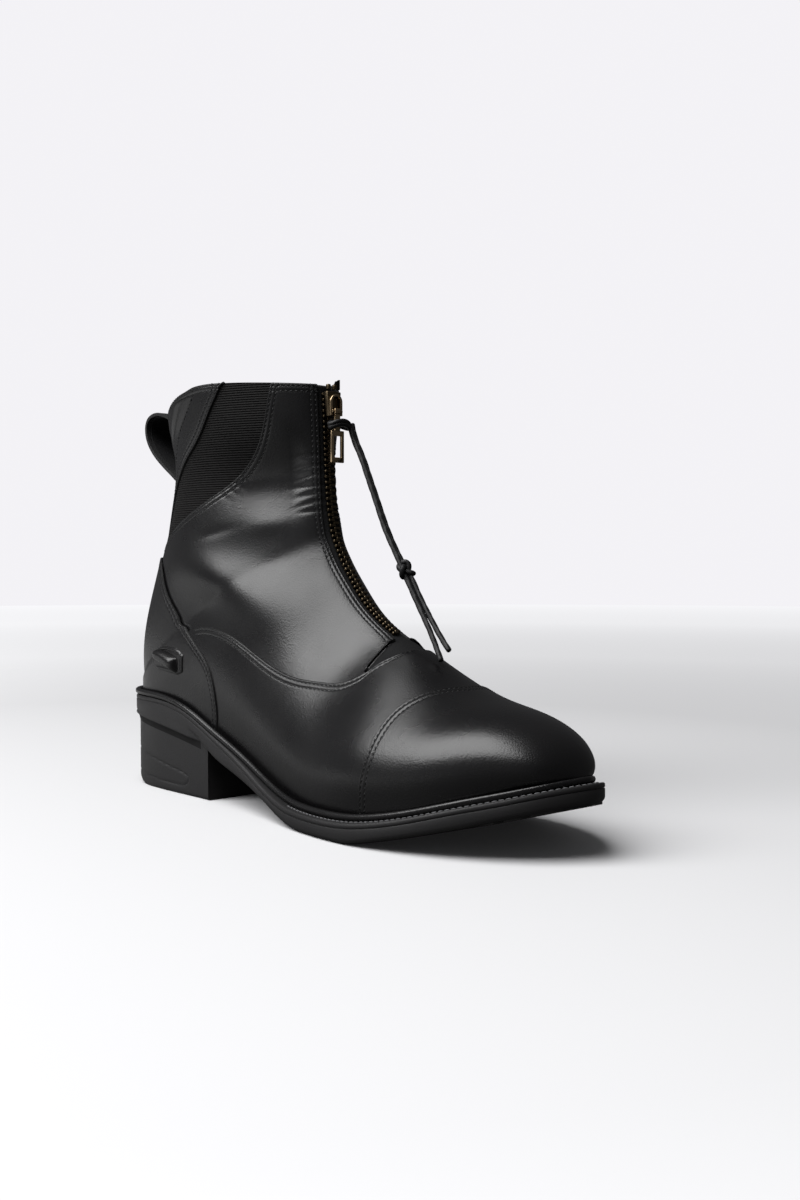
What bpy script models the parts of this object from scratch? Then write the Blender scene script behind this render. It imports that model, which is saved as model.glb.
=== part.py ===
"""Jodhpur boot for the right foot, with a front zip, elastic gores and a stacked-look heel.

Metres, +Z up, toe towards +X, outer side of the foot towards -Y. World zero lies on the floor
under the middle of the heel. The sizes below are millimetres, measured forward from the heel's
back and up from the floor.
"""
import bmesh
import bpy
import numpy as np
from mathutils import Matrix

MM = 0.001
HEEL_CENTRE = 40.0          # from the heel's back to world x = 0
GAP = 0.3                   # clearance between pieces that meet
BOTH = (-1, 1)              # outer side, inner side
FOOT_RISE = 1.2             # from the sole's ledge to the edge of the upper

# Outline of the sole seen from above: x, half width outside the middle line, half width inside it
SOLE_LENGTH = 282.0
OUTLINE = np.array([
    (0.0, 0.0, 0.0),
    (4.0, 18.5, 18.0),
    (9.0, 25.5, 25.0),
    (17.0, 31.0, 30.5),
    (33.0, 35.0, 34.0),
    (63.0, 36.0, 32.5),
    (91.0, 36.5, 28.0),
    (118.0, 39.0, 25.5),
    (148.0, 44.5, 31.5),
    (175.0, 49.0, 41.0),
    (198.0, 50.0, 45.5),
    (223.0, 46.5, 44.0),
    (246.0, 38.5, 36.5),
    (262.0, 29.0, 27.0),
    (273.0, 18.5, 17.0),
    (279.5, 8.0, 8.5),
    (282.0, -1.0, 1.0),
])

# Side view of the sole: x, height of its underside, height of the ledge that carries the upper
SOLE = np.array([
    (0.0, 36.0, 43.5),
    (28.0, 36.0, 43.7),
    (53.0, 35.0, 42.5),
    (70.0, 31.8, 38.5),
    (89.0, 21.4, 31.0),
    (107.0, 15.4, 24.2),
    (126.0, 10.4, 17.0),
    (145.0, 4.7, 10.9),
    (158.0, 1.2, 8.5),
    (168.0, 0.0, 7.9),
    (183.0, 0.0, 7.8),
    (198.0, 0.0, 8.4),
    (212.0, 2.4, 10.2),
    (228.0, 6.0, 13.6),
    (247.0, 10.8, 18.8),
    (264.0, 15.2, 23.4),
    (275.0, 18.4, 26.6),
    (282.0, 20.4, 28.4),
])
HEEL_BREAST = 85.0          # front face of the heel block
WELT_MARGIN_HEEL = 2.8      # sole edge to upper, at the heel
WELT_MARGIN_TOE = 7.0       # sole edge to upper, from the ball forward
RING_STEPS = 34             # stations along each side of the sole
INSOLE_INSET = 6.8          # from the outer face of the upper to the insole
HEEL_STEPS = 15             # stations along each side of the heel block

# Sections of the upper, each a plane fanned from the front ridge down to the sole or the back line:
# ridge x, ridge z, foot x, foot z (nan where the foot lies on the sole's ledge), half width outside,
# half width inside, widest point as a share of the way down, fullness above it, fullness below it
ON_LEDGE = np.nan
SECTIONS = {
    "toe tip": (274.8, 28.0, 274.8, ON_LEDGE, 0.0, 0.0, 0.62, 2.0, 2.0),
    "toe front": (273.4, 34.6, 271.2, ON_LEDGE, 11.8, 11.0, 0.66, 2.05, 2.0),
    "toe round": (268.2, 41.4, 264.0, ON_LEDGE, 20.5, 19.2, 0.68, 2.15, 2.0),
    "toe crown": (258.0, 47.0, 252.4, ON_LEDGE, 28.8, 27.2, 0.70, 2.2, 2.0),
    "toe box": (244.5, 51.2, 237.5, ON_LEDGE, 36.0, 34.2, 0.72, 2.2, 2.0),
    "cap seam": (229.0, 54.4, 218.0, ON_LEDGE, 41.6, 39.4, 0.74, 2.1, 2.0),
    "ball": (211.5, 60.4, 196.0, ON_LEDGE, 45.0, 41.5, 0.76, 2.0, 2.0),
    "vamp": (193.5, 70.8, 170.0, ON_LEDGE, 43.5, 37.5, 0.78, 1.9, 2.0),
    "throat": (177.5, 78.4, 140.0, ON_LEDGE, 39.5, 34.0, 0.77, 1.78, 2.0),
    "instep": (160.5, 89.2, 105.0, ON_LEDGE, 36.2, 32.2, 0.74, 1.66, 2.0),
    "short heel": (148.8, 102.0, 66.0, ON_LEDGE, 35.0, 32.8, 0.69, 1.6, 2.0),
    "heel seat": (143.2, 110.4, 36.0, ON_LEDGE, 34.6, 33.2, 0.66, 1.58, 2.1),
    "heel corner": (140.2, 116.6, 14.0, ON_LEDGE, 34.4, 33.4, 0.65, 1.56, 2.25),
    "heel point": (137.8, 122.6, 2.8, 43.8, 34.2, 33.4, 0.64, 1.54, 2.45),
    "heel bulge": (135.8, 130.0, 2.2, 60.0, 33.9, 33.2, 0.64, 1.53, 2.45),
    "heel top": (134.2, 138.0, 7.6, 82.0, 33.3, 32.8, 0.63, 1.52, 2.35),
    "ankle": (132.8, 148.4, 17.6, 108.0, 32.6, 32.2, 0.61, 1.5, 2.2),
    "shaft": (131.4, 165.2, 28.0, 146.0, 32.6, 31.8, 0.57, 1.5, 2.15),
    "collar": (130.2, 187.2, 23.5, 187.0, 34.5, 33.0, 0.55, 1.5, 2.2),
}
UPRIGHT = 10.0              # height over which the wall stands upright on the ledge
COLLAR_RISE = 2.2           # the collar's sides stand this much above its front and back
NET_ROWS = 64               # rows of the control net from toe to collar
NET_HALF = 13               # its points from the ridge to the sole, ridge included

# Layers, measured from the outer face of the vamp
SHELL_LEVEL = -2.6          # outer face of the inner shell
SHELL_WALL = 1.2
PANEL_LEVEL = -1.6          # inner face of every panel sewn over the shell
QUARTER_WALL = 1.15
VAMP_WALL = 1.6
CAP_WALL = 2.1
GORE_WALL = 0.85
TAPE_WALL = 0.6

# Seams on the outer side as rows of (x, z), as seen from the side; the inner side mirrors them
CAP_SEAM = [(215.8, 58.6), (213.1, 58.2), (210.6, 56.2), (208.0, 52.4), (206.2, 45.0), (204.6, 30.0),
            (202.6, 18.0), (201.0, 9.0)]
VAMP_FRONT = [(190.4, 72.2), (188.0, 71.3), (185.2, 69.4), (182.6, 65.8)]
VAMP_SIDE = [(182.6, 65.8), (174.4, 61.4), (161.0, 59.6), (146.0, 59.9), (132.6, 62.9), (118.0, 68.8),
             (101.5, 75.6), (88.0, 78.6), (76.7, 78.8), (67.5, 76.6)]
COUNTER_LOW = [(67.5, 76.6), (78.5, 68.4), (87.8, 59.7), (91.4, 51.0), (92.0, 41.9), (90.8, 31.0)]
COUNTER_HIGH = [(33.0, 111.0), (40.6, 107.0), (46.9, 97.6), (56.4, 86.4), (67.5, 76.6)]
GORE_FRONT = [(113.6, 188.0), (112.0, 180.0), (109.2, 166.8), (105.0, 158.3), (98.6, 151.2), (90.6, 144.5),
              (78.5, 137.8), (63.3, 130.3), (47.0, 121.6), (33.0, 111.0)]
STRIP_EDGE = [(92.9, 189.0), (85.6, 179.7), (75.0, 165.4), (62.4, 156.3), (52.8, 148.3), (42.0, 136.0),
              (33.4, 122.4), (26.0, 109.8)]
SPUR_REST = [(38.9, 67.3), (60.1, 64.6), (63.1, 56.4), (42.8, 57.9)]

# Lines beside the ridge as rows of (along, around): share of the way from toe to collar, share of the
# half section from the ridge to the sole or the back line
TOE_START = 0.005           # front edge of the toe cap, low behind the welt
SHELL_START = 0.012         # front edge of the shell under it
ZIP_EDGE = [(1.0, 0.034), (0.70, 0.034), (0.637, 0.037), (0.548, 0.053), (0.478, 0.062), (0.42, 0.064), (0.373, 0.083)]
SLOT_FOOT = 0.374           # lower end of the opening behind the zip
SLOT_HALF = 0.02            # half of its width
CHAIN_HALF = 0.024          # half of the row of teeth
CHAIN_ENDS = (0.385, 0.985)
CHAIN_WALL = 1.0
SPUR_REST_WALL = 3.4

# Zip slider and its pull tab
SLIDER_BACK = 131.5         # x of the slider's back plate
SLIDER_SIZE = (2.5, 7.8, 11.0)
SLIDER_FOOT = 172.6         # z of its lower end
TAB_PIVOT = (135.9, 174.6)  # x, z of the tab's pin
PIN_RADIUS = 0.7
LUG_SIZE = (3.6, 1.0, 2.6)
LUG_Y = 2.7
BARREL_RADIUS = 1.5
BARREL_WIDTH = 3.8
NECK_SIZE = (1.2, 3.0, 8.4)
FRAME_SIZE = (1.4, 7.0, 14.0)
WINDOW_SIZE = (4.0, 4.2, 9.0)

# Pull loop at the back, side view of its strap: x, z
LOOP_WIDTH = 20.0
LOOP_WALL = 1.6
LOOP_ROUTE = [(26.9, 163.0), (25.6, 171.0), (20.5, 177.5), (13.0, 181.6), (5.0, 184.0), (-2.5, 184.0),
              (-7.6, 181.2), (-8.6, 176.0), (-4.8, 168.2), (4.6, 160.0), (14.0, 154.0), (21.5, 148.6), (26.6, 140.5)]

# Waxed cord tied to the tab: two strands, a knot and two tails, each route as rows of (x, y, z)
CORD = 2.3
HITCH_CENTRE = (135.9, 0.2, 169.4)
STRAND_ROUTES = {
    "cord_strand_a": [(136.6, 7.0, 169.6), (139.0, 7.1, 162.4), (143.4, 7.0, 155.2), (148.8, 6.8, 145.2),
                      (154.2, 6.5, 135.2), (161.4, 6.0, 122.0), (170.2, 5.7, 109.0)],
    "cord_strand_b": [(138.4, 9.6, 170.0), (141.6, 9.7, 163.2), (145.8, 9.6, 156.2), (151.0, 9.4, 146.4),
                      (156.4, 9.1, 136.6), (163.4, 8.6, 124.0), (171.8, 7.9, 110.4)],
    "cord_tail_a": [(176.0, 5.4, 100.6), (180.0, 5.0, 95.2), (183.8, 4.6, 90.2), (188.0, 4.0, 85.0),
                    (192.0, 3.4, 80.0), (196.6, 2.4, 74.0), (201.2, 1.2, 68.0)],
    "cord_tail_b": [(177.4, 8.0, 102.0), (181.8, 7.6, 96.8), (186.0, 7.1, 91.6), (190.6, 6.5, 86.2),
                    (195.2, 5.9, 80.8), (199.4, 5.2, 75.8), (203.0, 4.4, 71.4)],
}
KNOT_CENTRE = (173.6, 6.6, 104.9)
KNOT_RADII = (4.2, 4.5, 4.8)
CORD_STEPS = 11

# Finishes: base colour, roughness, metallic
FINISHES = {
    "black_leather": ((0.018, 0.018, 0.020), 0.32, 0.0),
    "lining": ((0.035, 0.033, 0.032), 0.7, 0.0),
    "elastic": ((0.022, 0.022, 0.024), 0.85, 0.0),
    "black_rubber": ((0.025, 0.025, 0.027), 0.55, 0.0),
    "antique_brass": ((0.32, 0.24, 0.13), 0.4, 1.0),
    "zip_tape": ((0.016, 0.016, 0.017), 0.9, 0.0),
    "waxed_cord": ((0.020, 0.020, 0.021), 0.6, 0.0),
}


def clear_scene():
    for item in list(bpy.data.objects):
        bpy.data.objects.remove(item, do_unlink=True)


def collection(name):
    group = bpy.data.collections.new(name)
    bpy.context.scene.collection.children.link(group)
    return group


def finish(name):
    material = bpy.data.materials.get(name)
    if material is None:
        material = bpy.data.materials.new(name)
        material.use_nodes = True
        colour, roughness, metallic = FINISHES[name]
        shader = material.node_tree.nodes["Principled BSDF"]
        shader.inputs["Base Color"].default_value = (*colour, 1.0)
        shader.inputs["Roughness"].default_value = roughness
        shader.inputs["Metallic"].default_value = metallic
    return material


def spline(xs, ys, at):
    """Natural cubic spline through rows ys at xs, read at the given places."""
    xs = np.asarray(xs, float)
    ys = np.asarray(ys, float)
    rows = ys.reshape(len(xs), -1)
    step = np.diff(xs)
    slope = np.diff(rows, axis=0) / step[:, None]
    matrix = np.eye(len(xs))
    right = np.zeros_like(rows)
    for i in range(1, len(xs) - 1):
        matrix[i, i - 1:i + 2] = step[i - 1], 2 * (step[i - 1] + step[i]), step[i]
        right[i] = 6 * (slope[i] - slope[i - 1])
    bend = np.linalg.solve(matrix, right)
    at = np.asarray(at, float)
    i = np.clip(np.searchsorted(xs, at, side="right") - 1, 0, len(xs) - 2)
    left = (xs[i + 1] - at)[..., None]
    gone = (at - xs[i])[..., None]
    h = step[i][..., None]
    cubic = (bend[i] * left ** 3 + bend[i + 1] * gone ** 3) / (6 * h)
    straight = (rows[i] / h - bend[i] * h / 6) * left + (rows[i + 1] / h - bend[i + 1] * h / 6) * gone
    return (cubic + straight).reshape(at.shape + ys.shape[1:])


def lengths(rows):
    """Distance run along a row of points."""
    return np.concatenate([[0.0], np.cumsum(np.linalg.norm(np.diff(rows, axis=0), axis=1))])


# The sole's outline and heights

def turn(x):
    """Angle that spaces stations closely at the heel's back and at the toe, where the outline is round."""
    return np.arccos(np.clip(1 - 2 * np.asarray(x, float) / SOLE_LENGTH, -1, 1))


def outline_half(x, column):
    return spline(turn(OUTLINE[:, 0]), OUTLINE[:, column], turn(x))


def welt_margin(x):
    t = np.clip((np.asarray(x, float) - 60) / 100, 0, 1)
    return WELT_MARGIN_HEEL + (WELT_MARGIN_TOE - WELT_MARGIN_HEEL) * t * t * (3 - 2 * t)


def underside(x):
    return np.maximum(spline(SOLE[:, 0], SOLE[:, 1], np.clip(x, 0, SOLE_LENGTH)), 0.0)


def ledge(x):
    return spline(SOLE[:, 0], SOLE[:, 2], np.clip(x, 0, SOLE_LENGTH))


def outline_ring(inset, steps=RING_STEPS, end=SOLE_LENGTH):
    """Outer side from the heel's back to x = end, then the inner side back again, drawn in by inset."""
    far = turn(end)
    x = SOLE_LENGTH * (1 - np.cos(np.linspace(0, far, steps + 1))) / 2
    outer = np.stack([x, -outline_half(x, 1)], -1)
    inner = np.stack([x, outline_half(x, 2)], -1)
    whole = end > SOLE_LENGTH - 1
    ring = np.concatenate([outer, inner[-2 if whole else -1:0:-1]])
    along = np.roll(ring, -1, 0) - np.roll(ring, 1, 0)
    if not whole:
        along[steps] = ring[steps] - ring[steps - 1]
        along[steps + 1] = ring[steps + 2] - ring[steps + 1]
    along /= np.linalg.norm(along, axis=1)[:, None]
    amount = inset(ring[:, 0]) if callable(inset) else np.full(len(ring), inset)
    return ring + amount[:, None] * np.stack([-along[:, 1], along[:, 0]], -1)


FEATHER = outline_ring(welt_margin, 200)
FEATHER_SIDES = {-1: FEATHER[:201], 1: np.concatenate([FEATHER[:1], FEATHER[:199:-1]])}


def feather_half(x, side):
    """Half width of the line where the upper stands on the ledge."""
    points = FEATHER_SIDES[side]
    order = np.argsort(points[:, 0])
    return np.interp(x, points[order, 0], side * points[order, 1])


# The upper's surface

def bezier(points, count):
    t = np.linspace(0, 1, count)[:, None]
    a, b, c, d = (np.array(p, float) for p in points)
    return (1 - t) ** 3 * a + 3 * (1 - t) ** 2 * t * b + 3 * (1 - t) * t ** 2 * c + t ** 3 * d


def half_section(row, side, on_ledge):
    """Points from the ridge down one side of a section, evenly spaced along it."""
    ridge_x, ridge_z, foot_x, foot_z, outside, inside, widest, above, below = row
    low = max(0.0, feather_half(foot_x, side)) if on_ledge else 0.0
    width = max(outside if side < 0 else inside, low)
    drop = max(np.hypot(foot_x - ridge_x, foot_z - ridge_z), 1e-6)
    k = 0.5523 * above / 2
    reach = 0.5523 * below / 2 * (1 - widest)
    spread = max(0.5523 * below / 2 * (width - low), 0.05)
    if on_ledge:
        step = 0.4
        lean = (feather_half(foot_x + step, side) - feather_half(foot_x - step, side)) / (2 * step)
        lean *= ridge_x - foot_x
    else:
        lean = 1e6
    reach = 1 / np.hypot(1 / reach, abs(lean) / spread)
    upper = bezier([(0, 0), (0, k * width), (widest * (1 - k), width), (widest, width)], 60)
    handle = 0.5523 * below / 2 * (1 - widest)
    lower = bezier([(widest, width), (widest + handle, width), (1 - reach, low + reach * lean), (1, low)], 60)
    curve = np.concatenate([upper, lower[1:]])
    run = lengths(curve * np.array([drop, 1.0]))
    at = np.linspace(0, run[-1], NET_HALF)
    down = np.interp(at, run, curve[:, 0])
    out = np.interp(at, run, curve[:, 1])
    return np.stack([ridge_x + down * (foot_x - ridge_x), side * out, ridge_z + down * (foot_z - ridge_z)], -1)


def control_net():
    """Rows of points from toe to collar; rows past the heel point close on the back line."""
    table = np.array(list(SECTIONS.values()), float)
    heel = list(SECTIONS).index("heel point")
    seated = np.isnan(table[:, 3])
    table[seated, 3] = ledge(table[seated, 2]) + FOOT_RISE
    foot_y = np.where(seated, feather_half(table[:, 2], -1), 0.0)
    foot_line = np.stack([table[:, 2], foot_y, table[:, 3]], -1)
    run = (lengths(table[:, :2]) + lengths(foot_line)) / 2
    along = np.linspace(0, run[-1], NET_ROWS)
    rows = spline(run, table, along)
    foot = along <= run[heel]
    rows[foot, 2] = spline(run[:heel + 1], table[:heel + 1, 2], along[foot])
    rows[foot, 3] = ledge(rows[foot, 2]) + FOOT_RISE
    rows[~foot, 2:4] = spline(run[heel:], table[heel:, 2:4], along[~foot])
    net = []
    for row, on_ledge in zip(rows, foot):
        outer = half_section(row, -1, on_ledge)
        inner = half_section(row, 1, on_ledge)
        net.append(np.concatenate([outer[::-1], inner[1:]]))
    net = np.array(net)
    around = np.linspace(-1, 1, net.shape[1])
    near_top = np.clip((along / along[-1] - 0.88) / 0.12, 0, 1)
    net[:, :, 2] += COLLAR_RISE * near_top[:, None] * np.sin(np.pi * np.abs(around)) ** 2
    return net, foot, run[heel] / run[-1]


def pad_net(net, foot):
    """Adds the outer rows and columns that let the smooth surface reach the net's own edges."""
    left = 2 * net[:, 0] - net[:, 1]
    right = 2 * net[:, -1] - net[:, -2]
    left[~foot] = net[~foot, -2]
    right[~foot] = net[~foot, 1]
    wide = np.concatenate([left[:, None], net, right[:, None]], 1)
    return np.concatenate([2 * wide[:1] - wide[1:2], wide, 2 * wide[-1:] - wide[-2:-1]])


NET, ON_FOOT, HEEL_POINT = control_net()
PADDED = pad_net(NET, ON_FOOT)


def weights(t):
    return np.stack([(1 - t) ** 3, 3 * t ** 3 - 6 * t ** 2 + 4, -3 * t ** 3 + 3 * t ** 2 + 3 * t + 1, t ** 3], -1) / 6


def surface(along, around):
    """Smooth outer surface of the vamp and quarters; around runs -1 outside, 0 ridge, 1 inside."""
    along, around = np.broadcast_arrays(np.asarray(along, float), np.asarray(around, float))
    a = np.clip(along, 0, 1) * (NET.shape[0] - 1)
    b = (np.clip(around, -1, 1) + 1) / 2 * (NET.shape[1] - 1)
    i = np.minimum(a.astype(int), NET.shape[0] - 2)
    j = np.minimum(b.astype(int), NET.shape[1] - 2)
    wa = weights(a - i)
    wb = weights(b - j)
    total = np.zeros(along.shape + (3,))
    for k in range(4):
        for m in range(4):
            total += (wa[..., k] * wb[..., m])[..., None] * PADDED[i + k, j + m]
    return total


def normal(along, around, step=0.004):
    """Outward direction; just over the ledge the wall stands upright, so there it is level."""
    up = surface(along + step, around) - surface(along - step, around)
    across = surface(along, around + step) - surface(along, around - step)
    out = np.cross(across, up)
    spot = surface(along, around)
    rise = np.clip((spot[..., 2] - ledge(spot[..., 0])) / UPRIGHT, 0, 1)
    out[..., 2] *= rise * rise * (3 - 2 * rise)
    return out / np.maximum(np.linalg.norm(out, axis=-1), 1e-9)[..., None]


def offset_points(along, around, level):
    return surface(along, around) + level * normal(along, around)


# Meshes

def place(points):
    return np.asarray(points, float) * MM - np.array([HEEL_CENTRE * MM, 0.0, 0.0])


def add_object(name, points, faces, material, group):
    mesh = bpy.data.meshes.new(name)
    mesh.from_pydata(place(points).tolist(), [], faces)
    item = bpy.data.objects.new(name, mesh)
    item.data.materials.append(finish(material))
    group.objects.link(item)
    return item


def face_outwards(item):
    work = bmesh.new()
    work.from_mesh(item.data)
    bmesh.ops.recalc_face_normals(work, faces=work.faces[:])
    if work.calc_volume(signed=True) < 0:
        bmesh.ops.reverse_faces(work, faces=work.faces[:])
    work.to_mesh(item.data)
    work.free()


def thicken(item, wall, offset):
    layer = item.modifiers.new("wall", "SOLIDIFY")
    layer.thickness = wall * MM
    layer.offset = offset
    layer.use_even_offset = False


def add_sheet(name, points, wall, material, group):
    """A grid of points as one strap, thickened to both sides."""
    rows, columns = points.shape[:2]
    index = np.arange(rows * columns).reshape(rows, columns)
    faces = []
    for i in range(rows - 1):
        for j in range(columns - 1):
            faces.append((index[i, j], index[i, j + 1], index[i + 1, j + 1], index[i + 1, j]))
    item = add_object(name, points.reshape(-1, 3), [tuple(map(int, f)) for f in faces], material, group)
    thicken(item, wall, 0.0)
    return item


def line(rows, count):
    """Evenly spaced (along, around) places on a line given as such rows."""
    rows = np.array(rows, float)
    run = lengths(rows * np.array([350.0, 90.0]))
    return spline(run, rows, np.linspace(0, run[-1], count))


LOOKUP = np.stack(np.meshgrid(np.linspace(0, 1, 401), np.linspace(0, 1, 201), indexing="ij"), -1).reshape(-1, 2)
LOOKUP_SPOTS = surface(LOOKUP[:, 0], -LOOKUP[:, 1])[:, ::2]


def locate(x, z):
    """The (along, around) place on the outer side that is seen at x, z from the side."""
    target = np.array([x, z])
    place = LOOKUP[np.argmin(((LOOKUP_SPOTS - target) ** 2).sum(1))].copy()
    step = 1e-3
    for _ in range(3):
        here = surface(place[0], -place[1])[::2]
        slope = np.stack([(surface(place[0] + step, -place[1])[::2] - here) / step,
                          (surface(place[0], -place[1] - step)[::2] - here) / step], 1)
        move = np.linalg.lstsq(slope, target - here, rcond=0.02)[0]
        place = np.clip(place + np.clip(move, -0.01, 0.01), 0, 1)
    if place[1] < 0.02:
        place[1] = 0.0
    if place[1] > 0.97:
        place[1] = 1.0
    if place[0] > 0.99:
        place[0] = 1.0
    return place


def seam(rows, count):
    """Evenly spaced (along, around) places on a seam given as rows of (x, z)."""
    rows = np.array(rows, float)
    run = lengths(rows)
    places = np.array([locate(x, z) for x, z in spline(run, rows, np.linspace(0, run[-1], 61))])
    run = lengths(surface(places[:, 0], -places[:, 1]))
    at = np.linspace(0, run[-1], count)
    return np.stack([np.interp(at, run, places[:, 0]), np.interp(at, run, places[:, 1])], -1)


def joined(*edges):
    return np.concatenate([edges[0]] + [e[1:] for e in edges[1:]])


STATIONS = np.linspace(0, 1, 201)
HALF_RUNS = np.array([lengths(surface(np.full(61, v), np.linspace(0, -1, 61)))[-1] for v in STATIONS])


def half_run(along):
    """Length of the outer half section, from the ridge to its foot."""
    return np.interp(along, STATIONS, HALF_RUNS)


def fill(front, back, start, end):
    """Places inside four edges; front and back run with the first index, start and end with the second.
    The grid is spread by distance from the ridge, which stays smooth where the sections close."""
    edges = []
    for rows in (front, back, start, end):
        edges.append(np.stack([rows[:, 0], rows[:, 1] * half_run(rows[:, 0])], -1))
    front, back, start, end = edges
    s = np.linspace(0, 1, len(start))[None, :, None]
    w = np.linspace(0, 1, len(front))[:, None, None]
    ruled = (1 - s) * front[:, None] + s * back[:, None] + (1 - w) * start[None] + w * end[None]
    corners = (1 - w) * ((1 - s) * start[0] + s * start[-1]) + w * ((1 - s) * end[0] + s * end[-1])
    grid = ruled - corners
    return np.stack([grid[..., 0], np.clip(grid[..., 1] / half_run(grid[..., 0]), 0, 1)], -1)


def draw_in(points, on_middle, amount=0.3):
    """Pulls a panel's border in from its seams, so that it clears the next panel."""
    moved = points.copy()
    for axis in (0, 1):
        grid, spot, middle = (np.moveaxis(item, axis, 0) for item in (points, moved, on_middle))
        for rim, inner in ((0, 1), (-1, -2)):
            step = grid[inner] - grid[rim]
            step = amount * step / np.maximum(np.linalg.norm(step, axis=-1), 1e-6)[..., None]
            along_middle = middle[rim] & ~middle[inner]
            spot[rim] += np.where(along_middle[..., None], 0.0, step)
    return moved


def add_panel(name, places, wall, material, group, sides, level=PANEL_LEVEL):
    """A panel on one side of the boot, or on both sides, joined where they meet on the middle line."""
    along, around = places[..., 0], places[..., 1]
    on_middle = (around < 1e-6) | ((around > 1 - 1e-6) & (along > HEEL_POINT - 1e-6))
    points, faces = [], []
    shared = {}
    for side in sides:
        grid = draw_in(offset_points(along, side * around, level), on_middle)
        grid[on_middle, 1] = 0.0
        index = np.zeros(grid.shape[:2], int)
        for spot in np.ndindex(*index.shape):
            if on_middle[spot] and spot in shared:
                index[spot] = shared[spot]
                continue
            index[spot] = shared[spot] = len(points)
            points.append(grid[spot])
        rows, columns = index.shape
        i, j = rows // 2, columns // 2
        facing = np.cross(grid[i, j] - grid[i, j - 1], grid[i, j] - grid[i - 1, j])
        turned = np.dot(facing, normal(along[i, j], side * around[i, j])) < 0
        for i, j in np.ndindex(rows - 1, columns - 1):
            face = (index[i, j], index[i, j + 1], index[i + 1, j + 1], index[i + 1, j])
            faces.append(tuple(int(k) for k in (face[::-1] if turned else face)))
    item = add_object(name, points, faces, material, group)
    thicken(item, wall, 1.0)
    return item


def add_ring_solid(name, levels, material, group, steps=RING_STEPS, end=SOLE_LENGTH):
    """A solid lofted through inset copies of the sole's outline, each at its own heights."""
    rings = []
    for inset, height in levels:
        ring = outline_ring(inset, steps, end)
        rings.append(np.concatenate([ring, height(ring[:, 0])[:, None]], 1))
    size = len(rings[0])
    faces = []
    for level in range(len(rings) - 1):
        for i in range(size):
            a, b = level * size + i, level * size + (i + 1) % size
            faces.append((a, b, b + size, a + size))
    for base in (0, (len(rings) - 1) * size):
        faces.append((base, base + 1, base + size - 1))
        for i in range(1, (size - 1) // 2):
            faces.append((base + i, base + i + 1, base + size - i - 1, base + size - i))
        if size % 2 == 0:
            i = size // 2 - 1
            faces.append((base + i, base + i + 1, base + i + 2))
    item = add_object(name, np.concatenate(rings), faces, material, group)
    face_outwards(item)
    return item


def add_ring_tube(name, profile, material, group):
    """A bead swept round the outline; profile rows are (inset from the welt line, height over the ledge)."""
    rings = []
    for inset, rise in profile:
        ring = outline_ring(lambda x, inset=inset: welt_margin(x) + inset)
        rings.append(np.concatenate([ring, (ledge(ring[:, 0]) + rise)[:, None]], 1))
    size = len(rings[0])
    faces = []
    for level in range(len(rings)):
        for i in range(size):
            a, b = level * size, (level + 1) % len(rings) * size
            j = (i + 1) % size
            faces.append((a + i, a + j, b + j, b + i))
    item = add_object(name, np.concatenate(rings), faces, material, group)
    face_outwards(item)
    return item


# Sole, heel, welt, insole

def build_sole(group):
    add_ring_solid("outsole", [
        (1.6, underside),
        (0.0, lambda x: underside(x) + 1.4),
        (0.0, lambda x: ledge(x) - 1.2),
        (0.7, ledge),
    ], "black_rubber", group)
    top = lambda x: underside(x) - 2 * GAP
    add_ring_solid("heel", [
        (3.2, lambda x: 0.0 * x),
        (1.6, lambda x: 0.0 * x + 2.0),
        (1.3, lambda x: top(x) - 9.0),
        (0.4, lambda x: top(x) - 5.6),
        (0.2, lambda x: top(x) - 3.6),
        (1.6, lambda x: top(x) - 2.6),
        (1.6, top),
    ], "black_rubber", group, steps=HEEL_STEPS, end=HEEL_BREAST)
    add_ring_tube("welt", [(-1.4, GAP), (-2.0, 2.7), (-2.9, 3.0), (-3.6, 2.2), (-3.6, GAP)],
                  "black_leather", group)
    add_ring_solid("insole", [
        (lambda x: welt_margin(x) + INSOLE_INSET, lambda x: ledge(x) + GAP),
        (lambda x: welt_margin(x) + INSOLE_INSET, lambda x: ledge(x) + 2.8),
    ], "lining", group)


# Inner shell of the upper, open at the collar, underneath and behind the zip

def build_upper(group):
    along = joined(np.linspace(SHELL_START, SLOT_FOOT, 11), np.linspace(SLOT_FOOT, HEEL_POINT, 10),
                   np.linspace(HEEL_POINT, 1.0, 9))
    half = joined(np.linspace(SLOT_HALF, 0.2, 3), np.linspace(0.2, 1.0, 8))
    around = np.concatenate([-half[::-1], half])
    places = np.meshgrid(along, around, indexing="ij")
    points = offset_points(*places, SHELL_LEVEL)
    closed = along >= HEEL_POINT - 1e-6
    seam = (points[closed, 0] + points[closed, -1]) / 2
    points[closed, 0] = points[closed, -1] = seam
    columns = len(around)
    index = np.arange(points.shape[0] * columns).reshape(-1, columns)
    index[closed, -1] = index[closed, 0]
    faces = []
    for i in range(len(along) - 1):
        for j in range(columns - 1):
            behind_zip = j == len(half) - 1 and along[i] >= SLOT_FOOT - 1e-6
            if not behind_zip:
                face = (index[i, j], index[i + 1, j], index[i + 1, j + 1], index[i, j + 1])
                faces.append(tuple(int(f) for f in face[::-1]))
    item = add_object("upper", points.reshape(-1, 3), faces, "lining", group)
    work = bmesh.new()
    work.from_mesh(item.data)
    bmesh.ops.delete(work, geom=[v for v in work.verts if not v.link_faces], context="VERTS")
    work.to_mesh(item.data)
    work.free()
    thicken(item, SHELL_WALL, -1.0)


# Panels sewn over the shell

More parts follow.
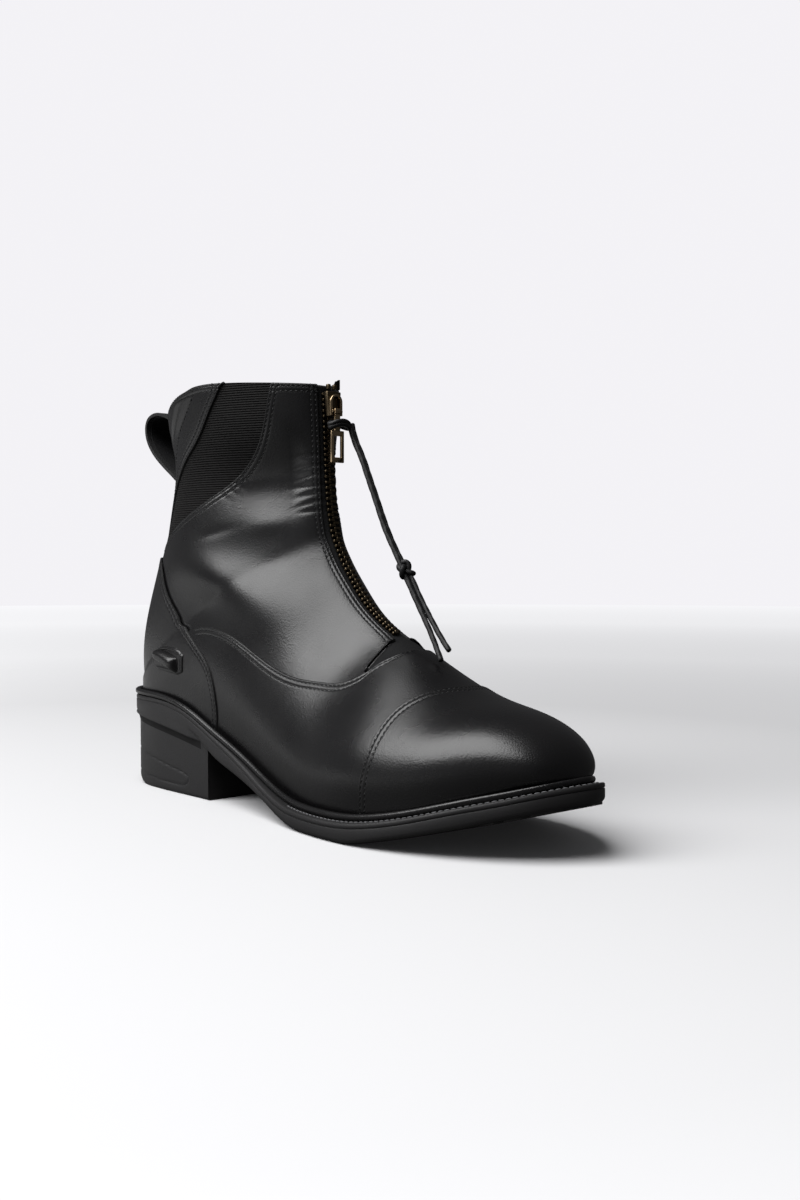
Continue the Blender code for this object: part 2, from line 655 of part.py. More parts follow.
def build_panels(group):
    vamp_front = seam(VAMP_FRONT, 4)
    vamp_side = seam(VAMP_SIDE, 12)
    counter_low = seam(COUNTER_LOW, 9)
    counter_high = seam(COUNTER_HIGH, 6)
    cap_seam = seam(CAP_SEAM, 9)

    toe_edge = line([(TOE_START, 0), (TOE_START, 1)], len(cap_seam))
    cap = fill(line([toe_edge[0], cap_seam[0]], 9), line([toe_edge[-1], cap_seam[-1]], 9), toe_edge, cap_seam)
    add_panel("toe_cap", cap, CAP_WALL, "black_leather", group, BOTH)

    vamp_top = joined(line([cap_seam[0], vamp_front[0]], 4), vamp_front, vamp_side)
    vamp = fill(vamp_top, line([cap_seam[-1], counter_low[-1]], len(vamp_top)), cap_seam, counter_low)
    add_panel("vamp", vamp, VAMP_WALL, "black_leather", group, BOTH)

    front = joined(counter_high, counter_low)
    counter_top = (front[0, 0], 1)
    heel_foot = (HEEL_POINT, 1)
    counter = fill(front, line([counter_top, heel_foot], len(front)),
                   line([front[0], counter_top], 12), line([front[-1], heel_foot], 12))
    add_panel("counter", counter, CAP_WALL, "black_leather", group, BOTH)

    strip_side = seam(STRIP_EDGE, 9)
    strip_foot = (strip_side[-1, 0], 1)
    strip = fill(strip_side, line([(1, 1), strip_foot], 9),
                 line([strip_side[0], (1, 1)], 10), line([strip_side[-1], strip_foot], 10))
    add_panel("back_strip", strip, VAMP_WALL, "black_leather", group, BOTH)

    throat_side = line([ZIP_EDGE[-1], vamp_front[-1] + np.array([0.012, 0.0])], 4)
    zip_side = joined(line(ZIP_EDGE, 11), throat_side)
    gore_side = seam(GORE_FRONT, 9)
    rear_side = joined(gore_side, counter_high)
    lower = vamp_side.copy()
    lower[0] = throat_side[-1]
    quarter = fill(zip_side, rear_side, line([zip_side[0], gore_side[0]], 12), lower)
    gore = fill(gore_side, strip_side, line([gore_side[0], strip_side[0]], 5), line([gore_side[-1], strip_side[-1]], 5))
    corners = [locate(*corner) for corner in SPUR_REST]
    rest = fill(line(corners[:2], 4), line([corners[3], corners[2]], 4),
                line([corners[0], corners[3]], 3), line(corners[1:3], 3))
    for side, word in ((-1, "outer"), (1, "inner")):
        add_panel("quarter_" + word, quarter, QUARTER_WALL, "black_leather", group, (side,))
        add_panel("gore_" + word, gore, GORE_WALL, "elastic", group, (side,))
        add_panel("spur_rest_" + word, rest, SPUR_REST_WALL, "black_leather", group, (side,),
                  level=PANEL_LEVEL + CAP_WALL + GAP)

    zip_foot = (ZIP_EDGE[-1][0], 0)
    throat_top = joined(line([zip_foot, ZIP_EDGE[-1]], 2), throat_side[[0, 1, 3]])
    throat = fill(line([vamp_front[0], zip_foot], 4), line([vamp_front[-1], throat_side[-1]], 4), vamp_front, throat_top)
    add_panel("throat_gusset", throat, GORE_WALL, "zip_tape", group, BOTH)


# Zip: tape, row of teeth, slider and pull tab

def build_zip(group, cutters):
    tape_top = 0.997
    tape_foot = ZIP_EDGE[-1][0] + 0.004
    tape_side = [(tape_top, 0.033)] + ZIP_EDGE[1:-1] + [(tape_foot, 0.080)]
    tape = fill(line([(tape_top, 0), (tape_foot, 0)], 17), line(tape_side, 17),
                line([(tape_top, 0), tape_side[0]], 3), line([(tape_foot, 0), tape_side[-1]], 3))
    add_panel("zip_tape", tape, TAPE_WALL, "zip_tape", group, BOTH)
    low, high = CHAIN_ENDS
    chain = fill(line([(high, 0), (low, 0)], 17), line([(high, CHAIN_HALF), (low, CHAIN_HALF)], 17),
                 line([(high, 0), (high, CHAIN_HALF)], 2), line([(low, 0), (low, CHAIN_HALF)], 2))
    add_panel("zip_chain", chain, CHAIN_WALL, "antique_brass", group, BOTH, level=PANEL_LEVEL + TAPE_WALL + 1.5 * GAP)

    body_x = SLIDER_BACK + SLIDER_SIZE[0] / 2
    slider = add_box("zip_slider", (body_x, 0, SLIDER_FOOT + SLIDER_SIZE[2] / 2), SLIDER_SIZE, "antique_brass", group)
    round_edges(slider, 0.8)
    lug_x = SLIDER_BACK + SLIDER_SIZE[0] + LUG_SIZE[0] / 2 - 0.4
    for side in (-1, 1):
        lug = add_box("slider_lug", (lug_x, side * LUG_Y, TAB_PIVOT[1]), LUG_SIZE, "antique_brass", cutters)
        combine(slider, lug, "UNION")
    pin = add_barrel("slider_pin", PIN_RADIUS, 2 * LUG_Y + 0.4, 16, cutters)
    combine(slider, pin, "UNION")

    tab = add_barrel("zip_pull_tab", BARREL_RADIUS, BARREL_WIDTH, 24, group)
    neck_z = TAB_PIVOT[1] - BARREL_RADIUS - NECK_SIZE[2] / 2 + 0.6
    neck = add_box("tab_neck", (TAB_PIVOT[0], 0, neck_z), NECK_SIZE, "antique_brass", cutters)
    frame_z = neck_z - NECK_SIZE[2] / 2 - FRAME_SIZE[2] / 2 + 0.8
    frame = add_box("tab_frame", (TAB_PIVOT[0], 0, frame_z), FRAME_SIZE, "antique_brass", cutters)
    window = add_box("tab_window", (TAB_PIVOT[0], 0, frame_z - 0.4), WINDOW_SIZE, "antique_brass", cutters)
    combine(tab, neck, "UNION")
    combine(tab, frame, "UNION")
    combine(tab, window, "DIFFERENCE")
    bore = add_barrel("tab_bore", PIN_RADIUS + GAP, BARREL_WIDTH + 2, 16, cutters)
    combine(tab, bore, "DIFFERENCE")


def add_box(name, centre, size, material, group):
    bpy.ops.mesh.primitive_cube_add(size=1)
    item = bpy.context.object
    item.name = name
    item.data.name = name
    item.data.transform(scaling(size))
    item.location = place(centre)
    adopt(item, material, group)
    return item


def scaling(size):
    return Matrix.Diagonal((size[0] * MM, size[1] * MM, size[2] * MM, 1.0))


def add_barrel(name, radius, width, sides, group):
    """A cylinder lying across the boot on the tab's pivot."""
    bpy.ops.mesh.primitive_cylinder_add(radius=radius * MM, depth=width * MM, vertices=sides, rotation=(np.pi / 2, 0, 0))
    item = bpy.context.object
    item.name = name
    item.data.name = name
    item.location = place((TAB_PIVOT[0], 0, TAB_PIVOT[1]))
    adopt(item, "antique_brass", group)
    return item


def adopt(item, material, group):
    for holder in list(item.users_collection):
        holder.objects.unlink(item)
    group.objects.link(item)
    item.data.materials.append(finish(material))


def combine(item, other, operation):
    other.hide_render = True
    other.display_type = "WIRE"
    cut = item.modifiers.new(other.name, "BOOLEAN")
    cut.object = other
    cut.operation = operation
    cut.solver = "EXACT"


def round_edges(item, width):
    bevel = item.modifiers.new("rounding", "BEVEL")
    bevel.width = width * MM
    bevel.segments = 2


# Pull loop at the back and the cord on the zip tab

def build_loop(group):
    route = np.array(LOOP_ROUTE)
    line = spline(lengths(route), route, np.linspace(0, lengths(route)[-1], 23))
    across = np.array([-LOOP_WIDTH / 2, LOOP_WIDTH / 2])
    points = np.stack([np.stack([line[:, 0], np.full(len(line), y), line[:, 1]], -1) for y in across], 1)
    add_sheet("pull_loop", points, LOOP_WALL, "black_leather", group)


def build_cord(group):
    for name, rows in STRAND_ROUTES.items():
        route = np.array(rows)
        line = spline(lengths(route), route, np.linspace(0, lengths(route)[-1], CORD_STEPS))
        data = bpy.data.curves.new(name, "CURVE")
        data.dimensions = "3D"
        data.bevel_depth = CORD / 2 * MM
        data.bevel_resolution = 2
        data.use_fill_caps = True
        strand = data.splines.new("POLY")
        strand.points.add(len(line) - 1)
        for point, spot in zip(strand.points, place(line)):
            point.co = (*spot, 1.0)
        item = bpy.data.objects.new(name, data)
        data.materials.append(finish("waxed_cord"))
        group.objects.link(item)

    bpy.ops.mesh.primitive_torus_add(major_radius=3.9 * MM, minor_radius=CORD / 2 * MM, major_segments=18, minor_segments=6)
    hitch = bpy.context.object
    hitch.name = "cord_hitch"
    hitch.data.transform(scaling((0.64 / MM, 1.0 / MM, 1.9 / MM)))
    hitch.location = place(HITCH_CENTRE)
    adopt(hitch, "waxed_cord", group)

    bpy.ops.mesh.primitive_uv_sphere_add(radius=1.0, segments=14, ring_count=8)
    knot = bpy.context.object
    knot.name = "cord_knot"
    knot.data.transform(scaling(KNOT_RADII))
    knot.location = place(KNOT_CENTRE)
    adopt(knot, "waxed_cord", group)


def build():
    clear_scene()
    parts = collection("jodhpur_boot")
    cutters = collection("cutters")
    build_sole(parts)
    build_upper(parts)
    build_panels(parts)
    build_zip(parts, cutters)
    build_loop(parts)
    build_cord(parts)
    for item in parts.objects:
        if item.type == "MESH":
            item.data.shade_smooth()
            item.data.set_sharp_from_angle(angle=np.radians(40))


build()
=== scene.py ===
# %% [markdown]
# # A black jodhpur boot with a front zip
# The boot is a leather upper sewn from panels over a lined shell, standing on a moulded rubber sole.
# Every piece is laid on the same shaped last as the CAD part, so the two always fit each other.
# Sizes are millimetres, measured forward from the heel's back and up from the floor.

# %% Load the frame
import math
import bpy
import numpy as np
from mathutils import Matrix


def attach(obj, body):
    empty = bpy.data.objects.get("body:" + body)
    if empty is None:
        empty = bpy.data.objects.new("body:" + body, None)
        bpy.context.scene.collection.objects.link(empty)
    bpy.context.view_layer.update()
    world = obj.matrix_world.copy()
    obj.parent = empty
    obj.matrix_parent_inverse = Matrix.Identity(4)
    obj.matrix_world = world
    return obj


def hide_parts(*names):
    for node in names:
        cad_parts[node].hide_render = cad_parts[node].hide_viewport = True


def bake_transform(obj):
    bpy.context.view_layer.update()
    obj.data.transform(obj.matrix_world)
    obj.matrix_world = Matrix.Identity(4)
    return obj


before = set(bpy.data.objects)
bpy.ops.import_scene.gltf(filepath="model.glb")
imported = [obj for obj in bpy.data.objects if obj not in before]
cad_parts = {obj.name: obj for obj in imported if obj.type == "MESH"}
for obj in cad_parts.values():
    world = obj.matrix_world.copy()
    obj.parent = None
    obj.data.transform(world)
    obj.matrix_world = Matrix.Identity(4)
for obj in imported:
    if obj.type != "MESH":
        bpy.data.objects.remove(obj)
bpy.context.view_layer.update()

MM = 0.001
HEEL_CENTRE = 40.0          # from the heel's back to world x = 0
BOTH = (-1, 1)              # outer side of the foot, inner side
SIDE_WORDS = ((-1, "outer"), (1, "inner"))


# %% [markdown]
# ## Camera
# A boot is shown from its outer front quarter, with the lens just above half its height.
# The long lens keeps the toe from swelling, and the whole boot stays sharp.

# %% Camera
CAMERA_SPOT = (0.541755, -0.36182, 0.10548)
CAMERA_DIP = 1.3836         # degrees below level
CAMERA_TURN = 48.175        # degrees about the upright
FOCAL_LENGTH = 38.988       # millimetres, on a picture 36 mm high
lens = bpy.data.cameras.new("camera")
lens.sensor_fit = "VERTICAL"
lens.sensor_height = 36.0
lens.lens = FOCAL_LENGTH
lens.dof.use_dof = False
camera = bpy.data.objects.new("camera", lens)
camera.location = CAMERA_SPOT
camera.rotation_euler = (math.radians(90 - CAMERA_DIP), 0.0, math.radians(CAMERA_TURN))
bpy.context.scene.collection.objects.link(camera)
bpy.context.scene.camera = camera
print("camera placed")


# %% [markdown]
# ## Curves
# Routes and seams are drawn with a few given points and a smooth curve through them, as a
# pattern cutter bends a thin batten through marks. Soft steps and bumps shape the rest.

# %% Curves
def spline(xs, ys, at):
    """Natural cubic spline through rows ys at xs, read at the given places."""
    xs = np.asarray(xs, float)
    ys = np.asarray(ys, float)
    rows = ys.reshape(len(xs), -1)
    step = np.diff(xs)
    slope = np.diff(rows, axis=0) / step[:, None]
    matrix = np.eye(len(xs))
    right = np.zeros_like(rows)
    for i in range(1, len(xs) - 1):
        matrix[i, i - 1:i + 2] = step[i - 1], 2 * (step[i - 1] + step[i]), step[i]
        right[i] = 6 * (slope[i] - slope[i - 1])
    bend = np.linalg.solve(matrix, right)
    at = np.asarray(at, float)
    i = np.clip(np.searchsorted(xs, at, side="right") - 1, 0, len(xs) - 2)
    left = (xs[i + 1] - at)[..., None]
    gone = (at - xs[i])[..., None]
    h = step[i][..., None]
    cubic = (bend[i] * left ** 3 + bend[i + 1] * gone ** 3) / (6 * h)
    straight = (rows[i] / h - bend[i] * h / 6) * left + (rows[i + 1] / h - bend[i + 1] * h / 6) * gone
    return (cubic + straight).reshape(at.shape + ys.shape[1:])


def lengths(rows):
    """Distance run along a row of points."""
    return np.concatenate([[0.0], np.cumsum(np.linalg.norm(np.diff(rows, axis=0), axis=1))])


def smooth(value, low, high):
    """A soft step from 0 at low to 1 at high."""
    t = np.clip((np.asarray(value, float) - low) / (high - low), 0, 1)
    return t * t * (3 - 2 * t)


def bump(value, centre, half):
    """A soft bump of height 1."""
    return np.exp(-((np.asarray(value, float) - centre) / half) ** 2)


def route_through(rows, step):
    """Evenly spaced points on a smooth curve through the given ones."""
    rows = np.array(rows, float)
    run = lengths(rows)
    fine = spline(run, rows, np.linspace(0, run[-1], 400))
    run = lengths(fine)
    at = np.linspace(0, run[-1], int(run[-1] / step) + 1)
    return np.stack([np.interp(at, run, fine[:, k]) for k in range(3)], -1)


print("curve helpers ready")


# %% [markdown]
# ## Meshes
# Most pieces start as a grid whose points are laid where the piece needs them. Rims are then welded
# or closed, and faces are turned outwards. Points stay in millimetres until they are placed.

# %% Meshes
def place(points):
    """From millimetres, measured from the heel's back, to metres in the shared frame."""
    return np.asarray(points, float) * MM - np.array([HEEL_CENTRE * MM, 0.0, 0.0])


def only(*items):
    """Selects these objects and no others."""
    if bpy.context.mode != "OBJECT":
        bpy.ops.object.mode_set(mode="OBJECT")
    bpy.ops.object.select_all(action="DESELECT")
    for item in items:
        item.select_set(True)
    bpy.context.view_layer.objects.active = items[0] if items else None


def grid_piece(name, points, wrap_rows=False, wrap_columns=False):
    """A grid laid on rows of points; a wrapped direction is closed on itself."""
    points = np.asarray(points, float)
    if wrap_rows:
        points = np.concatenate([points, points[:1]], 0)
    if wrap_columns:
        points = np.concatenate([points, points[:, :1]], 1)
    only()
    rows, columns = points.shape[:2]
    bpy.ops.mesh.primitive_grid_add(x_subdivisions=columns - 1, y_subdivisions=rows - 1, size=1)
    item = bpy.context.object
    item.name = name
    item.data.name = name
    item.data.vertices.foreach_set("co", place(points).astype(np.float32).ravel())
    item.data.update()
    if wrap_rows or wrap_columns:
        weld(item)
    return item


def weld(item, reach=1e-5):
    """Merges points that lie on each other."""
    only(item)
    bpy.ops.object.mode_set(mode="EDIT")
    bpy.ops.mesh.select_all(action="SELECT")
    bpy.ops.mesh.remove_doubles(threshold=reach)
    bpy.ops.object.mode_set(mode="OBJECT")


def face_out(item):
    """Turns every face outwards."""
    only(item)
    bpy.ops.object.mode_set(mode="EDIT")
    bpy.ops.mesh.select_all(action="SELECT")
    bpy.ops.mesh.normals_make_consistent(inside=False)
    bpy.ops.object.mode_set(mode="OBJECT")


def close_ends(item):
    """Closes open rims with faces, then turns every face outwards."""
    only(item)
    bpy.ops.object.mode_set(mode="EDIT")
    bpy.ops.mesh.select_all(action="DESELECT")
    bpy.ops.mesh.select_mode(type="EDGE")
    bpy.ops.mesh.select_non_manifold()
    bpy.ops.mesh.fill_holes(sides=0)
    bpy.ops.object.mode_set(mode="OBJECT")
    face_out(item)


print("grid helpers ready")


# %% [markdown]
# ## Joining, thickness and shading
# A piece may be joined from several shapes. Modifiers give it thickness or rounded edges and are applied
# at once, so that what is handed over is plain mesh. Shading is smooth except at sharp edges.

# %% Joining and shading
def join(name, items):
    """Makes one piece of several."""
    only(*items)
    bpy.ops.object.join()
    item = bpy.context.object
    item.name = name
    item.data.name = name
    return item


def apply_modifier(item, kind, **settings):
    """Adds one modifier and applies it."""
    only(item)
    step = item.modifiers.new(kind.lower(), kind)
    for key, value in settings.items():
        setattr(step, key, value)
    bpy.ops.object.modifier_apply(modifier=step.name)


def smooth_shade(item, angle):
    """Smooth shading where faces meet at less than this angle."""
    only(item)
    bpy.ops.object.shade_smooth_by_angle(angle=math.radians(angle))


print("joining helpers ready")


# %% [markdown]
# ## Tubes
# A cord is a tube on a path. Its rings are carried along the path without twisting, and two spirals
# that cross raise the braid's ridges.

# %% Tubes
def tube_points(path, radius, sides=20, ridges=0.0, pitch=5.0, closed=False):
    """Rings of points round a path; ridges raise two crossing spirals, as on a braid."""
    path = np.asarray(path, float)
    ahead = np.roll(path, -1, 0) - np.roll(path, 1, 0) if closed else np.gradient(path, axis=0)
    ahead /= np.linalg.norm(ahead, axis=1)[:, None]
    across = np.cross(ahead[0], (0.3, 0.2, 1.0))
    frames = []
    for t in ahead:
        across = across - t * np.dot(across, t)
        across = across / np.linalg.norm(across)
        frames.append((across, np.cross(t, across)))
    turn = np.linspace(0, 2 * np.pi, sides, endpoint=False)
    run = lengths(path)
    rings = []
    for spot, (a, b), s in zip(path, frames, run):
        twist = 2 * np.pi * s / pitch
        raised = np.maximum(np.cos(3 * turn - twist), np.cos(3 * turn + twist))
        r = radius + ridges * (raised - 0.6)
        rings.append(spot + r[:, None] * (np.cos(turn)[:, None] * a + np.sin(turn)[:, None] * b))
    return np.array(rings)


print("tube helper ready")


# %% [markdown]
# ## Waxed cord on the zip tab
# A doubled waxed cord is hitched to the zip's tab so that gloved fingers find it. It is braided,
# so fine crossing ridges run round it. It hangs down over the instep, is tied in one knot, and
# leaves two loose tails. Each half is a tube on a listed route that runs through the knot.

# %% Cord
CORD = 2.3                  # thickness
CORD_ROUTES = {
    "cord_first_half": [
        (136.6, 6.6, 169.6), (139.0, 7.0, 162.4), (143.4, 7.0, 155.2), (148.8, 6.8, 145.2),
        (154.2, 6.5, 135.2), (161.4, 6.0, 122.0), (170.2, 5.7, 109.0), (173.0, 5.5, 104.8),
        (176.0, 5.4, 100.6), (180.0, 5.0, 95.2), (183.8, 4.6, 90.2), (188.0, 4.0, 85.0),
        (192.0, 3.4, 80.0), (196.6, 2.4, 74.0), (201.2, 1.2, 68.0)],
    "cord_second_half": [
        (135.6, 8.8, 170.0), (138.0, 9.0, 162.8), (142.3, 9.0, 155.6), (147.7, 8.8, 145.6),
        (153.1, 8.5, 135.6), (160.4, 8.0, 122.4), (169.4, 7.7, 109.4), (172.9, 7.5, 105.4),
        (176.4, 7.5, 101.4), (180.2, 7.2, 96.2), (184.0, 6.9, 91.2), (188.3, 6.4, 86.2),
        (192.6, 5.9, 81.4), (197.6, 5.2, 76.4), (202.4, 4.6, 72.0)],
}
CORD_PATHS = {name: route_through(rows, 0.45) for name, rows in CORD_ROUTES.items()}
cords = {}
for name, path in CORD_PATHS.items():
    rings = tube_points(path, CORD / 2, sides=24, ridges=0.07, pitch=7.0)
    middle = path[:, None]
    rings[0] = middle[0] + 0.62 * (rings[0] - middle[0])
    rings[-1] = middle[-1] + 0.7 * (rings[-1] - middle[-1])
    cords[name] = grid_piece(name, rings, wrap_columns=True)
    close_ends(cords[name])
    smooth_shade(cords[name], 60)
print("cord halves", list(cords))


# %% [markdown]
# ## Knot and hitch
# The knot that ties both halves is drawn as a trefoil, the simplest closed knot, pressed to the size
# of an overhand knot. The hitch is two turns of cord round the tab's neck.

# %% Knot and hitch
KNOT_CENTRE = np.array((173.6, 6.6, 104.9))
KNOT_SIZE = (1.18, 1.25, 1.5)       # across, down the cord and to the front
lap = np.linspace(0, 2 * np.pi, 150, endpoint=False)
down = np.array((0.56, 0.0, -0.83))
side = np.array((0.0, 1.0, 0.0))
front = np.cross(down, side)
trefoil = (np.sin(lap) + 2 * np.sin(2 * lap), np.cos(lap) - 2 * np.cos(2 * lap), -np.sin(3 * lap))
knot_path = KNOT_CENTRE + sum(part[:, None] * axis * size
                              for part, axis, size in zip(trefoil, (side, down, front), KNOT_SIZE))
knot_rings = tube_points(knot_path, CORD / 2, 20, 0.06, 7.0, closed=True)
cord_knot = grid_piece("knot_wraps", knot_rings, True, True)
face_out(cord_knot)
smooth_shade(cord_knot, 60)

HITCH_CENTRE = np.array((135.9, 1.3, 169.6))
turns = np.linspace(0, 2 * np.pi, 80, endpoint=False)
hitch_parts = []
for drop, wide in ((0.75, 5.2), (-0.75, 4.9)):
    aside = wide * np.sin(turns)
    ring = HITCH_CENTRE + np.stack([2.55 * np.cos(turns), aside, drop - 1.5 * (aside / 5.2) ** 2], -1)
    hitch_rings = tube_points(ring, 1.05, 16, 0.05, 7.0, closed=True)
    hitch_parts.append(grid_piece("hitch_turn", hitch_rings, True, True))
cord_hitch = join("hitch_turns", hitch_parts)
face_out(cord_hitch)
smooth_shade(cord_hitch, 60)
print("knot and hitch tied")


# %% [markdown]
# ## How the cord moves
# The hitch turns with the tab, and the knot hangs on the boot. The two halves of the cord are left
# where they were drawn, attached to neither.

# %% Cord in motion
for name, item in cords.items():
    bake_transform(item)
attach(cord_knot, "boot")
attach(cord_hitch, "zip_tab")
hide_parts("cord_strand_a", "cord_tail_a")
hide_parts("cord_strand_b", "cord_tail_b")
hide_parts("cord_knot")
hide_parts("cord_hitch")


# %% [markdown]
# ## Floor
# The boot stands on a pale seamless floor that glows towards its rim, so floor and background run
# into each other. Polished leather mirrors what is around it, and in reflections the floor carries a
# painted reflection: dark before the toe and paler behind the heel.

# %% Floor
FLOOR_RADIUS = 3.2
FLOOR_GLOW = ((0.0, 0.0), (0.13, 0.02), (0.30, 0.34), (0.6, 0.66), (1.0, 0.82))
only()
bpy.ops.mesh.primitive_circle_add(vertices=96, radius=FLOOR_RADIUS, fill_type="TRIFAN")
floor = bpy.context.object
floor.name = "studio_floor"
paint = bpy.data.materials.new("floor_paint")
paint.use_nodes = True
floor.data.materials.append(paint)
tree = paint.node_tree
shader = tree.nodes["Principled BSDF"]
shader.inputs["Roughness"].default_value = 0.7
where = tree.nodes.new("ShaderNodeTexCoord")
kind_of_ray = tree.nodes.new("ShaderNodeLightPath")

# the glow that the camera sees
away = tree.nodes.new("ShaderNodeVectorMath")
away.operation = "LENGTH"
shrink = tree.nodes.new("ShaderNodeMapRange")
shrink.inputs["From Max"].default_value = FLOOR_RADIUS
glow = tree.nodes.new("ShaderNodeValToRGB")
while len(glow.color_ramp.elements) < len(FLOOR_GLOW):
    glow.color_ramp.elements.new(0.5)
for stop, (position, value) in zip(glow.color_ramp.elements, FLOOR_GLOW):
    stop.position = position
    stop.color = (value, value, value * 1.02, 1.0)
tree.links.new(where.outputs["Object"], away.inputs[0])
tree.links.new(away.outputs["Value"], shrink.inputs["Value"])
tree.links.new(shrink.outputs["Result"], glow.inputs["Fac"])
tree.links.new(glow.outputs["Color"], shader.inputs["Emission Color"])
tree.links.new(kind_of_ray.outputs["Is Camera Ray"], shader.inputs["Emission Strength"])

# the colour that the camera sees, and the painted reflection colour that all other rays see
behind = tree.nodes.new("ShaderNodeVectorMath")
behind.operation = "DOT_PRODUCT"
behind.inputs[1].default_value = (-0.9, -0.2, 0.0)
painted_reflection = tree.nodes.new("ShaderNodeMapRange")
painted_reflection.inputs["From Min"].default_value = -0.1
painted_reflection.inputs["From Max"].default_value = 0.4
painted_reflection.inputs["To Min"].default_value = 0.05
painted_reflection.inputs["To Max"].default_value = 0.5
seen_or_painted = tree.nodes.new("ShaderNodeMix")
seen_or_painted.data_type = "RGBA"
seen_or_painted.inputs["B"].default_value = (0.72, 0.72, 0.731, 1.0)
tree.links.new(where.outputs["Object"], behind.inputs[0])
tree.links.new(behind.outputs["Value"], painted_reflection.inputs["Value"])
tree.links.new(painted_reflection.outputs["Result"], seen_or_painted.inputs["A"])
tree.links.new(kind_of_ray.outputs["Is Camera Ray"], seen_or_painted.inputs["Factor"])
tree.links.new(seen_or_painted.outputs["Result"], shader.inputs["Base Color"])
print("floor laid")


# %% [markdown]
# ## Sky and softbox
# One large softbox hangs on the outer side, high and a little behind, and draws the broad highlights.
# The camera sees a pale sky. The leather sees a dark one that grows paler towards the outer side and
# the back, so the boot stays black.

# %% Sky and softbox
SOFTBOX_SPOT = (-0.587, -1.597, 1.58)
SOFTBOX_SIZE = (3.35, 1.5)
SOFTBOX_TURN = 49.5
SOFTBOX_RADIANCE = 6.1
bpy.context.scene.view_settings.view_transform = "Standard"
world = bpy.data.worlds.new("studio")
bpy.context.scene.world = world
world.use_nodes = True
sky = world.node_tree
sky.nodes.clear()
seen = sky.nodes.new("ShaderNodeBackground")
seen.inputs["Color"].default_value = (0.90, 0.89, 0.92, 1.0)
unseen = sky.nodes.new("ShaderNodeBackground")
facing = sky.nodes.new("ShaderNodeTexCoord")
spread = sky.nodes.new("ShaderNodeVectorMath")
spread.operation = "DOT_PRODUCT"
spread.inputs[1].default_value = (-0.35, -0.90, -0.10)
shade = sky.nodes.new("ShaderNodeValToRGB")
shade.color_ramp.elements[0].position = 0.05
shade.color_ramp.elements[0].color = (0.07, 0.07, 0.072, 1.0)
shade.color_ramp.elements[1].position = 0.95
shade.color_ramp.elements[1].color = (0.24, 0.24, 0.247, 1.0)
path_kind = sky.nodes.new("ShaderNodeLightPath")
mix = sky.nodes.new("ShaderNodeMixShader")
out = sky.nodes.new("ShaderNodeOutputWorld")
sky.links.new(facing.outputs["Generated"], spread.inputs[0])
sky.links.new(spread.outputs["Value"], shade.inputs["Fac"])
sky.links.new(shade.outputs["Color"], unseen.inputs["Color"])
sky.links.new(path_kind.outputs["Is Camera Ray"], mix.inputs["Fac"])
sky.links.new(unseen.outputs["Background"], mix.inputs[1])
sky.links.new(seen.outputs["Background"], mix.inputs[2])
sky.links.new(mix.outputs["Shader"], out.inputs["Surface"])

light = bpy.data.lights.new("softbox", "AREA")
light.shape = "RECTANGLE"
light.size, light.size_y = SOFTBOX_SIZE
light.energy = SOFTBOX_RADIANCE * math.pi * SOFTBOX_SIZE[0] * SOFTBOX_SIZE[1]
softbox = bpy.data.objects.new("softbox", light)
softbox.location = SOFTBOX_SPOT
softbox.rotation_euler = (0.0, 0.0, math.radians(SOFTBOX_TURN))
bpy.context.scene.collection.objects.link(softbox)
print("studio lit")


# %% [markdown]
# ## Grain
# Smooth leather has a fine pebbled grain with fainter wrinkles, and its polish is never quite even.
# One node group makes that grain in the boot's own sizes, from noise that fills all of space.

# %% Grain
def grain_group():
    """Shared grain: fine pebbles, fainter wrinkles, and a slow change of gloss."""
    group = bpy.data.node_groups.new("leather_grain", "ShaderNodeTree")
    group.interface.new_socket("Vector", in_out="INPUT", socket_type="NodeSocketVector")
    group.interface.new_socket("Height", in_out="OUTPUT", socket_type="NodeSocketFloat")
    group.interface.new_socket("Gloss", in_out="OUTPUT", socket_type="NodeSocketFloat")
    start = group.nodes.new("NodeGroupInput")
    end = group.nodes.new("NodeGroupOutput")
    pebbles = group.nodes.new("ShaderNodeTexVoronoi")
    pebbles.feature = "SMOOTH_F1"
    pebbles.inputs["Scale"].default_value = 1500.0
    pebbles.inputs["Smoothness"].default_value = 0.6
    wrinkles = group.nodes.new("ShaderNodeTexNoise")
    wrinkles.inputs["Scale"].default_value = 420.0
    wrinkles.inputs["Detail"].default_value = 5.0
    slow = group.nodes.new("ShaderNodeTexNoise")
    slow.inputs["Scale"].default_value = 38.0
    slow.inputs["Detail"].default_value = 3.0
    total = group.nodes.new("ShaderNodeMath")
    total.operation = "ADD"
    for node in (pebbles, wrinkles, slow):
        group.links.new(start.outputs["Vector"], node.inputs["Vector"])
    group.links.new(pebbles.outputs["Distance"], total.inputs[0])
    group.links.new(wrinkles.outputs["Fac"], total.inputs[1])
    group.links.new(total.outputs["Value"], end.inputs["Height"])
    group.links.new(slow.outputs["Fac"], end.inputs["Gloss"])
    return group


GRAIN = grain_group()
print("grain ready")


# %% [markdown]
# ## How a finish is mixed
# Every finish but the elastic uses the shared grain, with its own colour, gloss and strength. The grain
# lifts the surface a little, and its slow noise makes the gloss uneven.

# %% Grained finishes
def new_material(name, colour, roughness, metallic=0.0):
    material = bpy.data.materials.new(name)
    material.use_nodes = True
    shader = material.node_tree.nodes["Principled BSDF"]
    shader.inputs["Base Color"].default_value = (*colour, 1.0)
    shader.inputs["Roughness"].default_value = roughness
    shader.inputs["Metallic"].default_value = metallic
    return material, material.node_tree, shader


